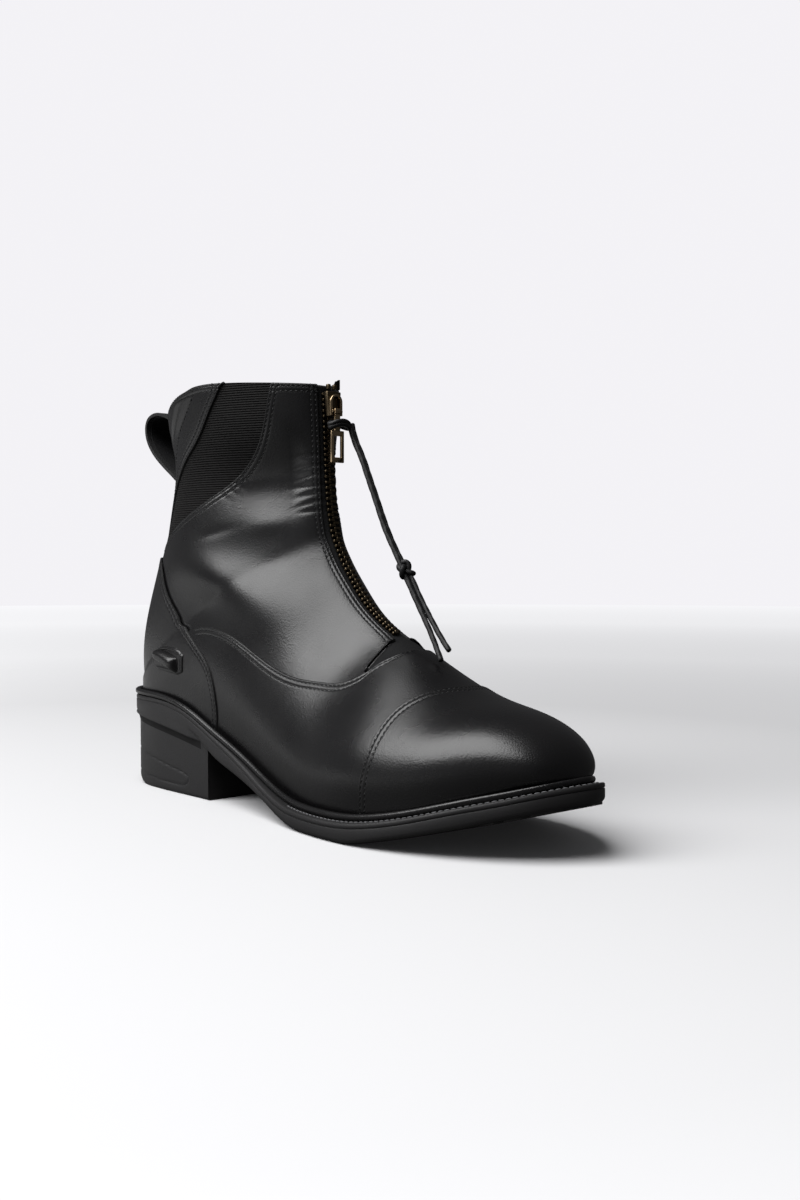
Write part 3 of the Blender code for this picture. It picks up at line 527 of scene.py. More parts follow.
def grained(name, colour, rough, strength, shine=0.5, metallic=0.0):
    """A finish with the shared grain; rough is its smoothest and roughest value."""
    material, tree, shader = new_material(name, colour, rough[0], metallic)
    shader.inputs["Specular IOR Level"].default_value = shine
    where = tree.nodes.new("ShaderNodeTexCoord")
    grain = tree.nodes.new("ShaderNodeGroup")
    grain.node_tree = GRAIN
    spread = tree.nodes.new("ShaderNodeMapRange")
    spread.inputs["From Min"].default_value = 0.3
    spread.inputs["From Max"].default_value = 0.7
    spread.inputs["To Min"].default_value = rough[0]
    spread.inputs["To Max"].default_value = rough[1]
    rise = tree.nodes.new("ShaderNodeBump")
    rise.inputs["Strength"].default_value = strength
    rise.inputs["Distance"].default_value = 0.0002
    tree.links.new(where.outputs["Object"], grain.inputs["Vector"])
    tree.links.new(grain.outputs["Gloss"], spread.inputs["Value"])
    tree.links.new(spread.outputs["Result"], shader.inputs["Roughness"])
    tree.links.new(grain.outputs["Height"], rise.inputs["Height"])
    tree.links.new(rise.outputs["Normal"], shader.inputs["Normal"])
    return material


print("finish helpers ready")


# %% [markdown]
# ## Finishes
# The leather is black and polished, and its cut edges are inked with matt paint. The other finishes
# are rubber, thread, waxed cord, woven cloth and brass. The gores are elastic with fine level ribs,
# which are a wave across the height.

# %% Finishes
black_leather = grained("black_leather", (0.0045, 0.0043, 0.0047), (0.24, 0.33), 0.2)
edge_paint = grained("edge_paint", (0.0035, 0.0034, 0.0036), (0.6, 0.7), 0.2, shine=0.2)
soft_leather = grained("soft_leather", (0.008, 0.0078, 0.0082), (0.42, 0.54), 0.35)
lining_leather = grained("lining_leather", (0.03, 0.029, 0.028), (0.6, 0.75), 0.3)
rubber = grained("black_rubber", (0.014, 0.0135, 0.0142), (0.42, 0.55), 0.18)
# matt rubber whose darker colour is painted shade for the recess under the heel's step
matt_painted_shade_rubber = grained("matt_painted_shade_rubber", (0.0075, 0.0073, 0.0077), (0.65, 0.8), 0.18, shine=0.25)
thread = grained("black_thread", (0.008, 0.008, 0.0085), (0.5, 0.62), 0.1, shine=0.3)
# near-black and matt: painted shade for the needle holes beside the stitches
hole_shade = grained("painted_hole_shade", (0.0008, 0.0008, 0.0008), (0.9, 0.95), 0.0)
pale_thread = grained("grey_thread", (0.11, 0.11, 0.115), (0.55, 0.7), 0.1)
waxed_cord = grained("waxed_cord", (0.008, 0.008, 0.0085), (0.45, 0.58), 0.1, shine=0.3)
tape_cloth = grained("zip_cloth", (0.005, 0.005, 0.0055), (0.75, 0.9), 0.5, shine=0.2)
brass = grained("aged_brass", (0.105, 0.08, 0.05), (0.25, 0.4), 0.1, metallic=1.0)
gold = grained("bright_brass", (0.4, 0.3, 0.185), (0.2, 0.3), 0.05, metallic=1.0)

RIB = 1.05                  # from one rib of the elastic to the next
elastic, tree, shader = new_material("ribbed_elastic", (0.0055, 0.005, 0.005), 0.75)
shader.inputs["Specular IOR Level"].default_value = 0.15
where = tree.nodes.new("ShaderNodeTexCoord")
ribs = tree.nodes.new("ShaderNodeTexWave")
ribs.bands_direction = "Z"
ribs.inputs["Scale"].default_value = 2 * math.pi / (20 * RIB * MM)
ribs.inputs["Distortion"].default_value = 0.0
rise = tree.nodes.new("ShaderNodeBump")
rise.inputs["Strength"].default_value = 0.9
rise.inputs["Distance"].default_value = 0.0004
tree.links.new(where.outputs["Object"], ribs.inputs["Vector"])
tree.links.new(ribs.outputs["Fac"], rise.inputs["Height"])
tree.links.new(rise.outputs["Normal"], shader.inputs["Normal"])
print("finishes mixed")


# %% [markdown]
# ## The last: outline of the sole
# A shoemaker starts from the last and the sole pattern. The sole's outline is drawn from above with
# half widths on both sides of the middle line, and its underside and ledge are drawn from the side.

# %% Sole outline
SOLE_LENGTH = 282.0
# x, half width of the outer side, half width of the inner side
OUTLINE = np.array([
    (0.0, 0.0, 0.0), (4.0, 18.5, 18.0), (9.0, 25.5, 25.0), (17.0, 31.0, 30.5), (33.0, 35.0, 34.0),
    (63.0, 36.0, 32.5), (91.0, 36.5, 28.0), (118.0, 39.0, 25.5), (148.0, 44.5, 31.5), (175.0, 49.0, 41.0),
    (198.0, 50.0, 45.5), (223.0, 46.5, 44.0), (246.0, 38.5, 36.5), (262.0, 29.0, 27.0), (273.0, 18.5, 17.0),
    (279.5, 8.0, 8.5), (282.0, -1.0, 1.0)])
# x, height of the underside, height of the ledge that carries the upper
SOLE = np.array([
    (0.0, 36.0, 43.5), (28.0, 36.0, 43.7), (53.0, 35.0, 42.5), (70.0, 31.8, 38.5), (89.0, 21.4, 31.0),
    (107.0, 15.4, 24.2), (126.0, 10.4, 17.0), (145.0, 4.7, 10.9), (158.0, 1.2, 8.5), (168.0, 0.0, 7.9),
    (183.0, 0.0, 7.8), (198.0, 0.0, 8.4), (212.0, 2.4, 10.2), (228.0, 6.0, 13.6), (247.0, 10.8, 18.8),
    (264.0, 15.2, 23.4), (275.0, 18.4, 26.6), (282.0, 20.4, 28.4)])
HEEL_BREAST = 85.0          # front of the heel block
WELT_MARGIN_HEEL = 2.8      # from the sole's edge in to the upper's foot
WELT_MARGIN_TOE = 7.0
FOOT_RISE = 1.2             # from the ledge up to the upper's foot


def turn(x):
    """Angle that runs evenly round both ends of the sole, where x alone would bunch up."""
    return np.arccos(np.clip(1 - 2 * np.asarray(x, float) / SOLE_LENGTH, -1, 1))


def outline_half(x, column):
    """Half width of the sole; column 1 is the outer side, 2 the inner one."""
    return spline(turn(OUTLINE[:, 0]), OUTLINE[:, column], turn(x))


def welt_margin(x):
    """How far the upper's foot stands in from the sole's edge."""
    return WELT_MARGIN_HEEL + (WELT_MARGIN_TOE - WELT_MARGIN_HEEL) * smooth(x, 60, 160)


def underside(x):
    return np.maximum(spline(SOLE[:, 0], SOLE[:, 1], np.clip(x, 0, SOLE_LENGTH)), 0.0)


def ledge(x):
    return spline(SOLE[:, 0], SOLE[:, 2], np.clip(x, 0, SOLE_LENGTH))


def outline_ring(inset, steps, end=SOLE_LENGTH):
    """Outer side from the heel's back to x = end, then the inner side back again, drawn in by inset."""
    x = SOLE_LENGTH * (1 - np.cos(np.linspace(0, turn(end), steps + 1))) / 2
    outer = np.stack([x, -outline_half(x, 1)], -1)
    inner = np.stack([x, outline_half(x, 2)], -1)
    whole = end > SOLE_LENGTH - 1
    ring = np.concatenate([outer, inner[-2 if whole else -1:0:-1]])
    along = np.roll(ring, -1, 0) - np.roll(ring, 1, 0)
    if not whole:
        along[steps] = ring[steps] - ring[steps - 1]
        along[steps + 1] = ring[steps + 2] - ring[steps + 1]
    along /= np.linalg.norm(along, axis=1)[:, None]
    amount = inset(ring[:, 0]) if callable(inset) else np.full(len(ring), inset)
    return ring + amount[:, None] * np.stack([-along[:, 1], along[:, 0]], -1)


FEATHER = outline_ring(welt_margin, 200)
FEATHER_SIDES = {-1: FEATHER[:201], 1: np.concatenate([FEATHER[:1], FEATHER[:199:-1]])}


def feather_half(x, side):
    """Half width of the feather line, where the upper's foot meets the ledge."""
    points = FEATHER_SIDES[side]
    order = np.argsort(points[:, 0])
    return np.interp(x, points[order, 0], side * points[order, 1])


print("sole outline drawn")


# %% [markdown]
# ## The last: sections of the upper
# A last is carved to a set of card templates. Here they are sections that fan out from the front ridge
# down to the sole and, past the heel, to the back line. Each one has its widths, the share of its
# height where it is widest, and a fullness above and below that place.

# %% Sections
ON_LEDGE = np.nan
# ridge x and z, foot x and z, half width outside and inside, where it is widest, fullness above, below
SECTIONS = np.array([
    (274.8, 28.0, 274.8, ON_LEDGE, 0.0, 0.0, 0.62, 2.0, 2.0),
    (273.4, 34.6, 271.2, ON_LEDGE, 11.8, 11.0, 0.66, 2.05, 2.0),
    (268.2, 41.4, 264.0, ON_LEDGE, 20.5, 19.2, 0.68, 2.15, 2.0),
    (258.0, 47.0, 252.4, ON_LEDGE, 28.8, 27.2, 0.70, 2.2, 2.0),
    (244.5, 51.2, 237.5, ON_LEDGE, 36.0, 34.2, 0.72, 2.2, 2.0),
    (229.0, 54.4, 218.0, ON_LEDGE, 41.6, 39.4, 0.74, 2.1, 2.0),
    (211.5, 60.4, 196.0, ON_LEDGE, 45.0, 41.5, 0.76, 2.0, 2.0),
    (193.5, 70.8, 170.0, ON_LEDGE, 43.5, 37.5, 0.78, 1.9, 2.0),
    (177.5, 78.4, 140.0, ON_LEDGE, 39.5, 34.0, 0.77, 1.78, 2.0),
    (160.5, 89.2, 105.0, ON_LEDGE, 36.2, 32.2, 0.74, 1.66, 2.0),
    (148.8, 102.0, 66.0, ON_LEDGE, 35.0, 32.8, 0.69, 1.6, 2.0),
    (143.2, 110.4, 36.0, ON_LEDGE, 34.6, 33.2, 0.66, 1.58, 2.1),
    (140.2, 116.6, 14.0, ON_LEDGE, 34.4, 33.4, 0.65, 1.56, 2.25),
    (137.8, 122.6, 2.8, 43.8, 34.2, 33.4, 0.64, 1.54, 2.45),
    (135.8, 130.0, 2.2, 60.0, 33.9, 33.2, 0.64, 1.53, 2.45),
    (134.2, 138.0, 7.6, 82.0, 33.3, 32.8, 0.63, 1.52, 2.35),
    (132.8, 148.4, 17.6, 108.0, 32.6, 32.2, 0.61, 1.5, 2.2),
    (131.4, 165.2, 28.0, 146.0, 32.6, 31.8, 0.57, 1.5, 2.15),
    (130.2, 187.2, 23.5, 187.0, 34.5, 33.0, 0.55, 1.5, 2.2)])
NET_HALF = 13               # points down one side of a section
ROUND = 0.5523              # length of a curve's handles that makes a quarter circle


def bezier(points, count):
    """Points on a cubic curve given by its ends and handles."""
    t = np.linspace(0, 1, count)[:, None]
    a, b, c, d = (np.array(p, float) for p in points)
    return (1 - t) ** 3 * a + 3 * (1 - t) ** 2 * t * b + 3 * (1 - t) * t ** 2 * c + t ** 3 * d


def half_section(row, side, on_ledge):
    """Points from the ridge down one side of a section, evenly spaced along it."""
    ridge_x, ridge_z, foot_x, foot_z, outside, inside, widest, above, below = row
    low = max(0.0, feather_half(foot_x, side)) if on_ledge else 0.0
    width = max(outside if side < 0 else inside, low)
    drop = max(np.hypot(foot_x - ridge_x, foot_z - ridge_z), 1e-6)
    k = ROUND * above / 2
    handle = ROUND * below / 2 * (1 - widest)
    spread = max(ROUND * below / 2 * (width - low), 0.05)
    lean = 1e6
    if on_ledge:
        widens = feather_half(foot_x + 0.4, side) - feather_half(foot_x - 0.4, side)
        lean = widens / 0.8 * (ridge_x - foot_x)
    reach = 1 / np.hypot(1 / handle, abs(lean) / spread)
    upper = bezier([(0, 0), (0, k * width), (widest * (1 - k), width), (widest, width)], 60)
    lower = bezier([(widest, width), (widest + handle, width),
                    (1 - reach, low + reach * lean), (1, low)], 60)
    curve = np.concatenate([upper, lower[1:]])
    run = lengths(curve * np.array([drop, 1.0]))
    at = np.linspace(0, run[-1], NET_HALF)
    down = np.interp(at, run, curve[:, 0])
    wide = np.interp(at, run, curve[:, 1])
    x = ridge_x + down * (foot_x - ridge_x)
    z = ridge_z + down * (foot_z - ridge_z)
    return np.stack([x, side * wide, z], -1)


print("sections", len(SECTIONS))


# %% [markdown]
# ## The last: net of points
# More rows are drawn between the sections, and each row is spaced evenly down both sides. The rows
# behind the heel point close on the back line. At the collar both sides rise a little.

# %% Net
HEEL_ROW = 13               # section where the back line meets the ledge
NET_ROWS = 64
COLLAR_RISE = 2.2


def control_net():
    """Rows of points from toe to collar; rows past the heel point close on the back line."""
    table = SECTIONS.copy()
    seated = np.isnan(table[:, 3])
    table[seated, 3] = ledge(table[seated, 2]) + FOOT_RISE
    foot_y = np.where(seated, feather_half(table[:, 2], -1), 0.0)
    run = (lengths(table[:, :2]) + lengths(np.stack([table[:, 2], foot_y, table[:, 3]], -1))) / 2
    along = np.linspace(0, run[-1], NET_ROWS)
    rows = spline(run, table, along)
    foot = along <= run[HEEL_ROW]
    rows[foot, 2] = spline(run[:HEEL_ROW + 1], table[:HEEL_ROW + 1, 2], along[foot])
    rows[foot, 3] = ledge(rows[foot, 2]) + FOOT_RISE
    rows[~foot, 2:4] = spline(run[HEEL_ROW:], table[HEEL_ROW:, 2:4], along[~foot])
    net = []
    for row, on_ledge in zip(rows, foot):
        outer = half_section(row, -1, on_ledge)
        inner = half_section(row, 1, on_ledge)
        net.append(np.concatenate([outer[::-1], inner[1:]]))
    net = np.array(net)
    near_top = np.clip((along / along[-1] - 0.88) / 0.12, 0, 1)
    around = np.linspace(-1, 1, net.shape[1])
    net[:, :, 2] += COLLAR_RISE * near_top[:, None] * np.sin(np.pi * np.abs(around)) ** 2
    return net, foot, run[HEEL_ROW] / run[-1]


def pad_net(net, foot):
    """Adds one more row all round, so that the surface reaches the net's own edge."""
    left = 2 * net[:, 0] - net[:, 1]
    right = 2 * net[:, -1] - net[:, -2]
    left[~foot] = net[~foot, -2]
    right[~foot] = net[~foot, 1]
    wide = np.concatenate([left[:, None], net, right[:, None]], 1)
    return np.concatenate([2 * wide[:1] - wide[1:2], wide, 2 * wide[-1:] - wide[-2:-1]])


NET, ON_FOOT, HEEL_POINT = control_net()
PADDED = pad_net(NET, ON_FOOT)
print("net of points", NET.shape)


# %% [markdown]
# ## The last: its surface
# A smooth surface is drawn over the net, and every piece of the upper is laid on it. A place on it has
# two numbers: along runs from the toe to the collar, and around runs from the outer side over the
# ridge to the inner side.

# %% Surface
UPRIGHT = 10.0              # below this height over the ledge, outward directions are turned level


def weights(t):
    """Shares of the four nearest rows in a point between the middle two."""
    first = (1 - t) ** 3
    second = 3 * t ** 3 - 6 * t ** 2 + 4
    third = -3 * t ** 3 + 3 * t ** 2 + 3 * t + 1
    return np.stack([first, second, third, t ** 3], -1) / 6


def surface(along, around):
    """Points of the last; around is -1 on the outer side, 0 on the ridge and 1 on the inner side."""
    along, around = np.broadcast_arrays(np.asarray(along, float), np.asarray(around, float))
    a = np.clip(along, 0, 1) * (NET.shape[0] - 1)
    b = (np.clip(around, -1, 1) + 1) / 2 * (NET.shape[1] - 1)
    i = np.minimum(a.astype(int), NET.shape[0] - 2)
    j = np.minimum(b.astype(int), NET.shape[1] - 2)
    wa = weights(a - i)
    wb = weights(b - j)
    total = np.zeros(along.shape + (3,))
    for k in range(4):
        for m in range(4):
            total += (wa[..., k] * wb[..., m])[..., None] * PADDED[i + k, j + m]
    return total


def normal(along, around, step=0.004):
    """Outward direction; it is level just over the ledge, so that a panel's foot stands upright."""
    up = surface(along + step, around) - surface(along - step, around)
    across = surface(along, around + step) - surface(along, around - step)
    outward = np.cross(across, up)
    spot = surface(along, around)
    rise = np.clip((spot[..., 2] - ledge(spot[..., 0])) / UPRIGHT, 0, 1)
    outward[..., 2] *= rise * rise * (3 - 2 * rise)
    return outward / np.maximum(np.linalg.norm(outward, axis=-1), 1e-9)[..., None]


print("ridge at the collar", surface(1.0, 0.0).round(1))


# %% [markdown]
# ## Seams in the side view
# The pattern pieces are drawn as seams, as a pattern cutter sees them from the side. Two neighbours
# share their seam, so no gap can open between them. The zip's edge is drawn on the last itself.

# %% Seam lines
# x and z
CAP_SEAM = [(215.8, 58.6), (213.1, 58.2), (210.6, 56.2), (208.0, 52.4), (206.2, 45.0), (204.6, 30.0),
            (202.6, 18.0), (201.0, 9.0)]
VAMP_FRONT = [(190.4, 72.2), (188.0, 71.3), (185.2, 69.4), (182.6, 65.8)]
VAMP_SIDE = [(182.6, 65.8), (174.4, 61.4), (161.0, 59.6), (146.0, 59.9), (132.6, 62.9), (118.0, 68.8),
             (101.5, 75.6), (88.0, 78.6), (76.7, 78.8), (67.5, 76.6)]
COUNTER_LOW = [(67.5, 76.6), (78.5, 68.4), (87.8, 59.7), (91.4, 51.0), (92.0, 41.9), (90.8, 31.0)]
COUNTER_HIGH = [(33.0, 111.0), (40.6, 107.0), (46.9, 97.6), (56.4, 86.4), (67.5, 76.6)]
GORE_FRONT = [(113.6, 188.0), (112.0, 180.0), (109.2, 166.8), (105.0, 158.3), (98.6, 151.2), (90.6, 144.5),
              (78.5, 137.8), (63.3, 130.3), (47.0, 121.6), (33.0, 111.0)]
STRIP_EDGE = [(92.9, 189.0), (85.6, 179.7), (75.0, 165.4), (62.4, 156.3), (52.8, 148.3), (42.0, 136.0),
              (33.4, 122.4), (26.0, 109.8)]
SPUR_REST = [(39.9, 69.2), (65.7, 66.9), (64.7, 55.5), (38.9, 57.7)]
# along and around
ZIP_EDGE = [(1.0, 0.034), (0.70, 0.034), (0.637, 0.035), (0.548, 0.037), (0.478, 0.038), (0.42, 0.040),
            (0.373, 0.046)]
print("points on the toe cap's seam", len(CAP_SEAM))


# %% [markdown]
# ## Seams on the last
# Each point of a seam is looked up on the last: the nearest place in a table of places is taken, and a
# few small steps then bring it under the point that is seen from the side.

# %% Seams
def line(rows, count):
    """Evenly spaced (along, around) places on a line given as such rows."""
    rows = np.array(rows, float)
    run = lengths(rows * np.array([350.0, 90.0]))
    return spline(run, rows, np.linspace(0, run[-1], count))


LOOKUP = np.meshgrid(np.linspace(0, 1, 401), np.linspace(0, 1, 201), indexing="ij")
LOOKUP = np.stack(LOOKUP, -1).reshape(-1, 2)
LOOKUP_SPOTS = surface(LOOKUP[:, 0], -LOOKUP[:, 1])[:, ::2]


def locate(x, z):
    """The (along, around) place on the outer side that is seen at x, z from the side."""
    target = np.array([x, z])
    spot = LOOKUP[np.argmin(((LOOKUP_SPOTS - target) ** 2).sum(1))].copy()
    step = 1e-3
    for _ in range(3):
        here = surface(spot[0], -spot[1])[::2]
        slope = np.stack([(surface(spot[0] + step, -spot[1])[::2] - here) / step,
                          (surface(spot[0], -spot[1] - step)[::2] - here) / step], 1)
        move = np.linalg.lstsq(slope, target - here, rcond=0.02)[0]
        spot = np.clip(spot + np.clip(move, -0.01, 0.01), 0, 1)
    if spot[1] < 0.02:
        spot[1] = 0.0
    if spot[1] > 0.97:
        spot[1] = 1.0
    if spot[0] > 0.99:
        spot[0] = 1.0
    return spot


def seam(rows, count):
    """Evenly spaced (along, around) places on a seam given as rows of (x, z)."""
    rows = np.array(rows, float)
    run = lengths(rows)
    places = np.array([locate(x, z) for x, z in spline(run, rows, np.linspace(0, run[-1], 61))])
    run = lengths(surface(places[:, 0], -places[:, 1]))
    at = np.linspace(0, run[-1], count)
    places = np.stack([np.interp(at, run, places[:, 0]), np.interp(at, run, places[:, 1])], -1)
    soft = places.copy()
    for _ in range(3):
        soft[1:-1] = (soft[:-2] + 2 * soft[1:-1] + soft[2:]) / 4
    return soft


vamp_front = seam(VAMP_FRONT, 13)
vamp_side = seam(VAMP_SIDE, 61)
counter_low = seam(COUNTER_LOW, 41)
counter_high = seam(COUNTER_HIGH, 25)
cap_seam = seam(CAP_SEAM, 41)
gore_side = seam(GORE_FRONT, 49)
strip_side = seam(STRIP_EDGE, 49)
print("seams located")


# %% [markdown]
# ## From four seams to a panel's pattern
# The space between four seams is filled with an even grid, as a net is hung between four ropes. The
# sum of two ruled surfaces, less the corners that they count twice, meets all four edges.

# %% Patterns
def joined(*edges):
    """One edge made of several that meet end to end."""
    return np.concatenate([edges[0]] + [e[1:] for e in edges[1:]])


STATIONS = np.linspace(0, 1, 201)
HALF_RUNS = np.array([lengths(surface(np.full(61, v), np.linspace(0, -1, 61)))[-1] for v in STATIONS])


def half_run(along):
    """Length of the last's surface from the ridge down one side."""
    return np.interp(along, STATIONS, HALF_RUNS)


def fill(front, back, start, end):
    """Places inside four edges; front and back run with the first index, start and end with the second."""
    edges = []
    for rows in (front, back, start, end):
        edges.append(np.stack([rows[:, 0], rows[:, 1] * half_run(rows[:, 0])], -1))
    front, back, start, end = edges
    s = np.linspace(0, 1, len(start))[None, :, None]
    w = np.linspace(0, 1, len(front))[:, None, None]
    ruled = (1 - s) * front[:, None] + s * back[:, None] + (1 - w) * start[None] + w * end[None]
    corners = (1 - w) * ((1 - s) * start[0] + s * start[-1]) + w * ((1 - s) * end[0] + s * end[-1])
    grid = ruled - corners
    return np.stack([grid[..., 0], np.clip(grid[..., 1] / half_run(grid[..., 0]), 0, 1)], -1)


print("ridge to sole at the toe cap", half_run(0.2).round(1))


# %% [markdown]
# ## Panel edges
# Where a panel's edge is folded, the leather rolls down to the layer below, swells beside the stitches
# and sinks under them. Grid lines are packed along such edges, so that the roll and the stitch channels
# are real shape.

# %% Panel edges
# distances from the edge at which a folded edge has its grid lines
FOLD = np.array([0, 0.05, 0.14, 0.28, 0.48, 0.75, 1.05, 1.4, 1.75, 2.1, 2.5, 2.9, 3.25, 3.6, 3.95, 4.3,
                 4.8, 5.5, 6.5, 8])
STITCH_ROWS = (7, 13)       # grid lines of a folded edge that carry stitches, 1.4 and 3.6 mm in
EDGE_STEPS = {"folded": FOLD, "plain": np.array([0, 0.05, 0.14, 0.28, 0.48, 0.75, 1.2]),
              "tucked": np.array([-0.5, 0.6]), "middle": np.array([0.0]), "foot": np.array([0.0])}


def fold_height(inside, kind):
    """Height of the leather beside its edge, against the flat of the panel."""
    if kind not in ("folded", "plain"):
        return np.zeros_like(inside)
    r = 0.75 if kind == "folded" else 0.5
    near = np.clip(r - inside, 0, r)
    height = -(r - np.sqrt(r * r - near * near))
    if kind == "folded":
        height += 0.15 * bump(inside, 0.7, 0.45) - 0.13 * bump(inside, 1.4, 0.32)
        height += 0.10 * bump(inside, 2.5, 0.6) - 0.13 * bump(inside, 3.6, 0.32)
    return height


def respace(places, kinds, spacing):
    """Spreads the first index of a grid by distance, with close lines along folded edges."""
    spots = surface(places[..., 0], -places[..., 1])
    steps = np.linalg.norm(np.diff(spots, axis=0), axis=-1)
    run = np.concatenate([np.zeros((1, steps.shape[1])), np.cumsum(steps, axis=0)])
    first, last = EDGE_STEPS[kinds[0]], EDGE_STEPS[kinds[1]]
    slants = []
    for edge, inner in ((0, 4), (-1, -5)):
        tangent = np.gradient(spots[edge], axis=0)
        inwards = spots[inner] - spots[edge]
        size = np.linalg.norm(tangent, axis=1) * np.linalg.norm(inwards, axis=1)
        slant = np.clip(np.linalg.norm(np.cross(tangent, inwards), axis=1) / np.maximum(size, 1e-9), 0.45, 1)
        slants.append(np.convolve(np.pad(slant, 6, mode="edge"), np.ones(13) / 13, mode="valid"))
    count = max(3, int((np.median(run[-1]) - first[-1] - last[-1]) / spacing))
    columns, from_first, from_last = [], [], []
    for j in range(places.shape[1]):
        total = max(run[-1, j], 1e-6)
        slant_a, slant_b = slants[0][j], slants[1][j]
        a = first / slant_a * min(1.0, 0.45 * total * slant_a / max(first[-1], 1e-6))
        b = last / slant_b * min(1.0, 0.45 * total * slant_b / max(last[-1], 1e-6))
        at = np.concatenate([a, np.linspace(a[-1], total - b[-1], count + 2)[1:-1], (total - b)[::-1]])
        column = np.stack([np.interp(at, run[:, j], places[:, j, k]) for k in range(2)], -1)
        for k, near, far in ((at < 0, 0, 1), (at > total, -1, -2)):
            over = (at[k] - run[near, j]) / (run[far, j] - run[near, j] + 1e-9)
            column[k] = places[near, j] + over[:, None] * (places[far, j] - places[near, j])
        columns.append(column)
        from_first.append(at * slant_a)
        from_last.append((total - at) * slant_b)
    return np.stack(columns, 1), np.stack(from_first, 1), np.stack(from_last, 1)


print("edges", list(EDGE_STEPS))


# %% [markdown]
# ## Dents and puckers
# Leather keeps the creases of walking at the ankle, and sewing gathers it into puckers beside the zip
# and the gores. Each is a soft trough, or a swelling where its depth is negative, set where the light
# shows it.

# %% Dents and puckers
# x, z of the middle, direction in degrees from level, half length, half width, depth, side (0 = both)
TROUGHS = [
    (113.0, 125.5, 4.0, 11.0, 4.6, -0.5, -1),
    (84.0, 122.0, 12.0, 9.0, 2.2, 0.3, -1),
    (141.0, 108.0, -55.0, 13.0, 4.2, 0.6, 0),
    (110.0, 126.0, 2.0, 20.0, 5.5, -0.5, 1),
    (166.0, 66.0, -20.0, 14.0, 5.0, 0.3, 0),
]
# broad ones shape the ankle over the heel's swell and the vamp's side; they fade out beside the zip
BROAD = [
    (93.0, 98.0, -18.0, 36.0, 13.0, -4.6, 0),
    (107.0, 146.0, 0.0, 36.0, 16.0, 6.2, 0),
    (172.0, 56.0, 90.0, 26.0, 22.0, 2.2, 0),
]
# height and half length of the puckers beside the zip; x and z of those beside the gores
ZIP_PUCKERS = ((155.6, 3.4), (150.8, 4.4), (146.9, 3.6), (142.2, 4.8), (138.4, 3.6), (134.6, 4.2),
               (131.0, 3.2))
GORE_PUCKERS = ((86.4, 138.2), (90.4, 140.6), (94.0, 142.6), (97.6, 145.8))
for k, (high, long) in enumerate(ZIP_PUCKERS):
    TROUGHS.append((126.4 + 0.2 * k, high, 8.0 + 7.0 * (k % 3), 1.3 * long, 0.9, 0.42, 0))
for k, (x, z) in enumerate(GORE_PUCKERS):
    TROUGHS.append((x, z, -50.0 + 4.0 * k, 3.6, 0.85, 0.3, 0))


def troughs(rows, spots, side):
    """Height that a list of troughs takes away from or adds to one side of the boot."""
    total = np.zeros(spots.shape[:-1])
    for x, z, angle, long, half, depth, where in rows:
        if where in (0, side):
            c, s = math.cos(math.radians(angle)), math.sin(math.radians(angle))
            p = (spots[..., 0] - x) * c + (spots[..., 2] - z) * s
            q = (spots[..., 2] - z) * c - (spots[..., 0] - x) * s
            total -= depth * np.exp(-(p / long) ** 2 - (q / half) ** 2)
    return total


def relief(spots, side):
    """All dents and puckers of one side."""
    off_zip = smooth(np.abs(spots[..., 1]), 4, 15)
    return troughs(TROUGHS, spots, side) + off_zip * troughs(BROAD, spots, side)


print("troughs", len(TROUGHS) + len(BROAD))


# %% [markdown]
# ## Height of a panel
# A panel lies on the last at its own level, so that upper layers cover the edges of lower ones. Its
# edges are rolled where they are folded and sewn, pressed flat where another panel covers them, and
# painted where they are cut.

# %% Panel height
PANEL_ROWS = {}             # points and outward directions of each finished panel half
SEWN = {}                   # where along the front and back edges a fold is sewn
PAINTED = 4                 # grid lines along a cut or folded edge that carry edge paint
PRESSED = 0.27              # how far an edge that isn't sewn is pressed down


def painted_edges(shape, kinds, sewn_front, sewn_back):
    """Which faces of a panel's grid lie on a cut edge; kinds name front, back, start and end."""
    mask = np.zeros((shape[0] - 1, shape[1] - 1), int)
    turned = ("folded", "plain")
    if kinds[0] in turned:
        mask[:, :PAINTED] = sewn_front[:-1] > 0.2
    if kinds[1] in turned:
        mask[:, -PAINTED:] = sewn_back[:-1] > 0.2
    if kinds[2] in turned:
        mask[:PAINTED] = 1
    if kinds[3] in turned:
        mask[-PAINTED:] = 1
    return mask


def panel_height(name, grid, level, kinds, sewn, gaps):
    """Height over the last; gaps are the distances from the front, back, start and end edges."""
    front, back, start, end = (np.maximum(gap, 0) for gap in gaps)
    height = level + fold_height(start, kinds[2]) + fold_height(end, kinds[3])
    along, around = grid[..., 0], np.clip(grid[..., 1], 0, 1)
    edges = [surface(along[:, j:j + 1], -around[:, j:j + 1]) for j in (0, around.shape[1] - 1)]
    sewn_front = sewn[0](edges[0], around[:, :1])
    sewn_back = sewn[1](edges[1], around[:, -1:])
    SEWN[name, "front"] = smooth(around[:, :1], 0.002, 0.03) * sewn_front
    SEWN[name, "back"] = sewn_back
    height = height - PRESSED * (1 - sewn_front) * (1 - smooth(gaps[0], 0, 2.5))
    height = height - PRESSED * (1 - sewn_back) * (1 - smooth(gaps[1], 0, 2.5))
    height = height + SEWN[name, "front"] * fold_height(front, kinds[0])
    return height + SEWN[name, "back"] * fold_height(back, kinds[1])


print("painted grid lines along an edge", PAINTED)


# %% [markdown]
# ## From pattern to leather
# With its height known, each side of the panel is laid on the last, and its dents and puckers are
# pressed in. Both sides are welded along the middle, and the sheet gets its thickness inwards.

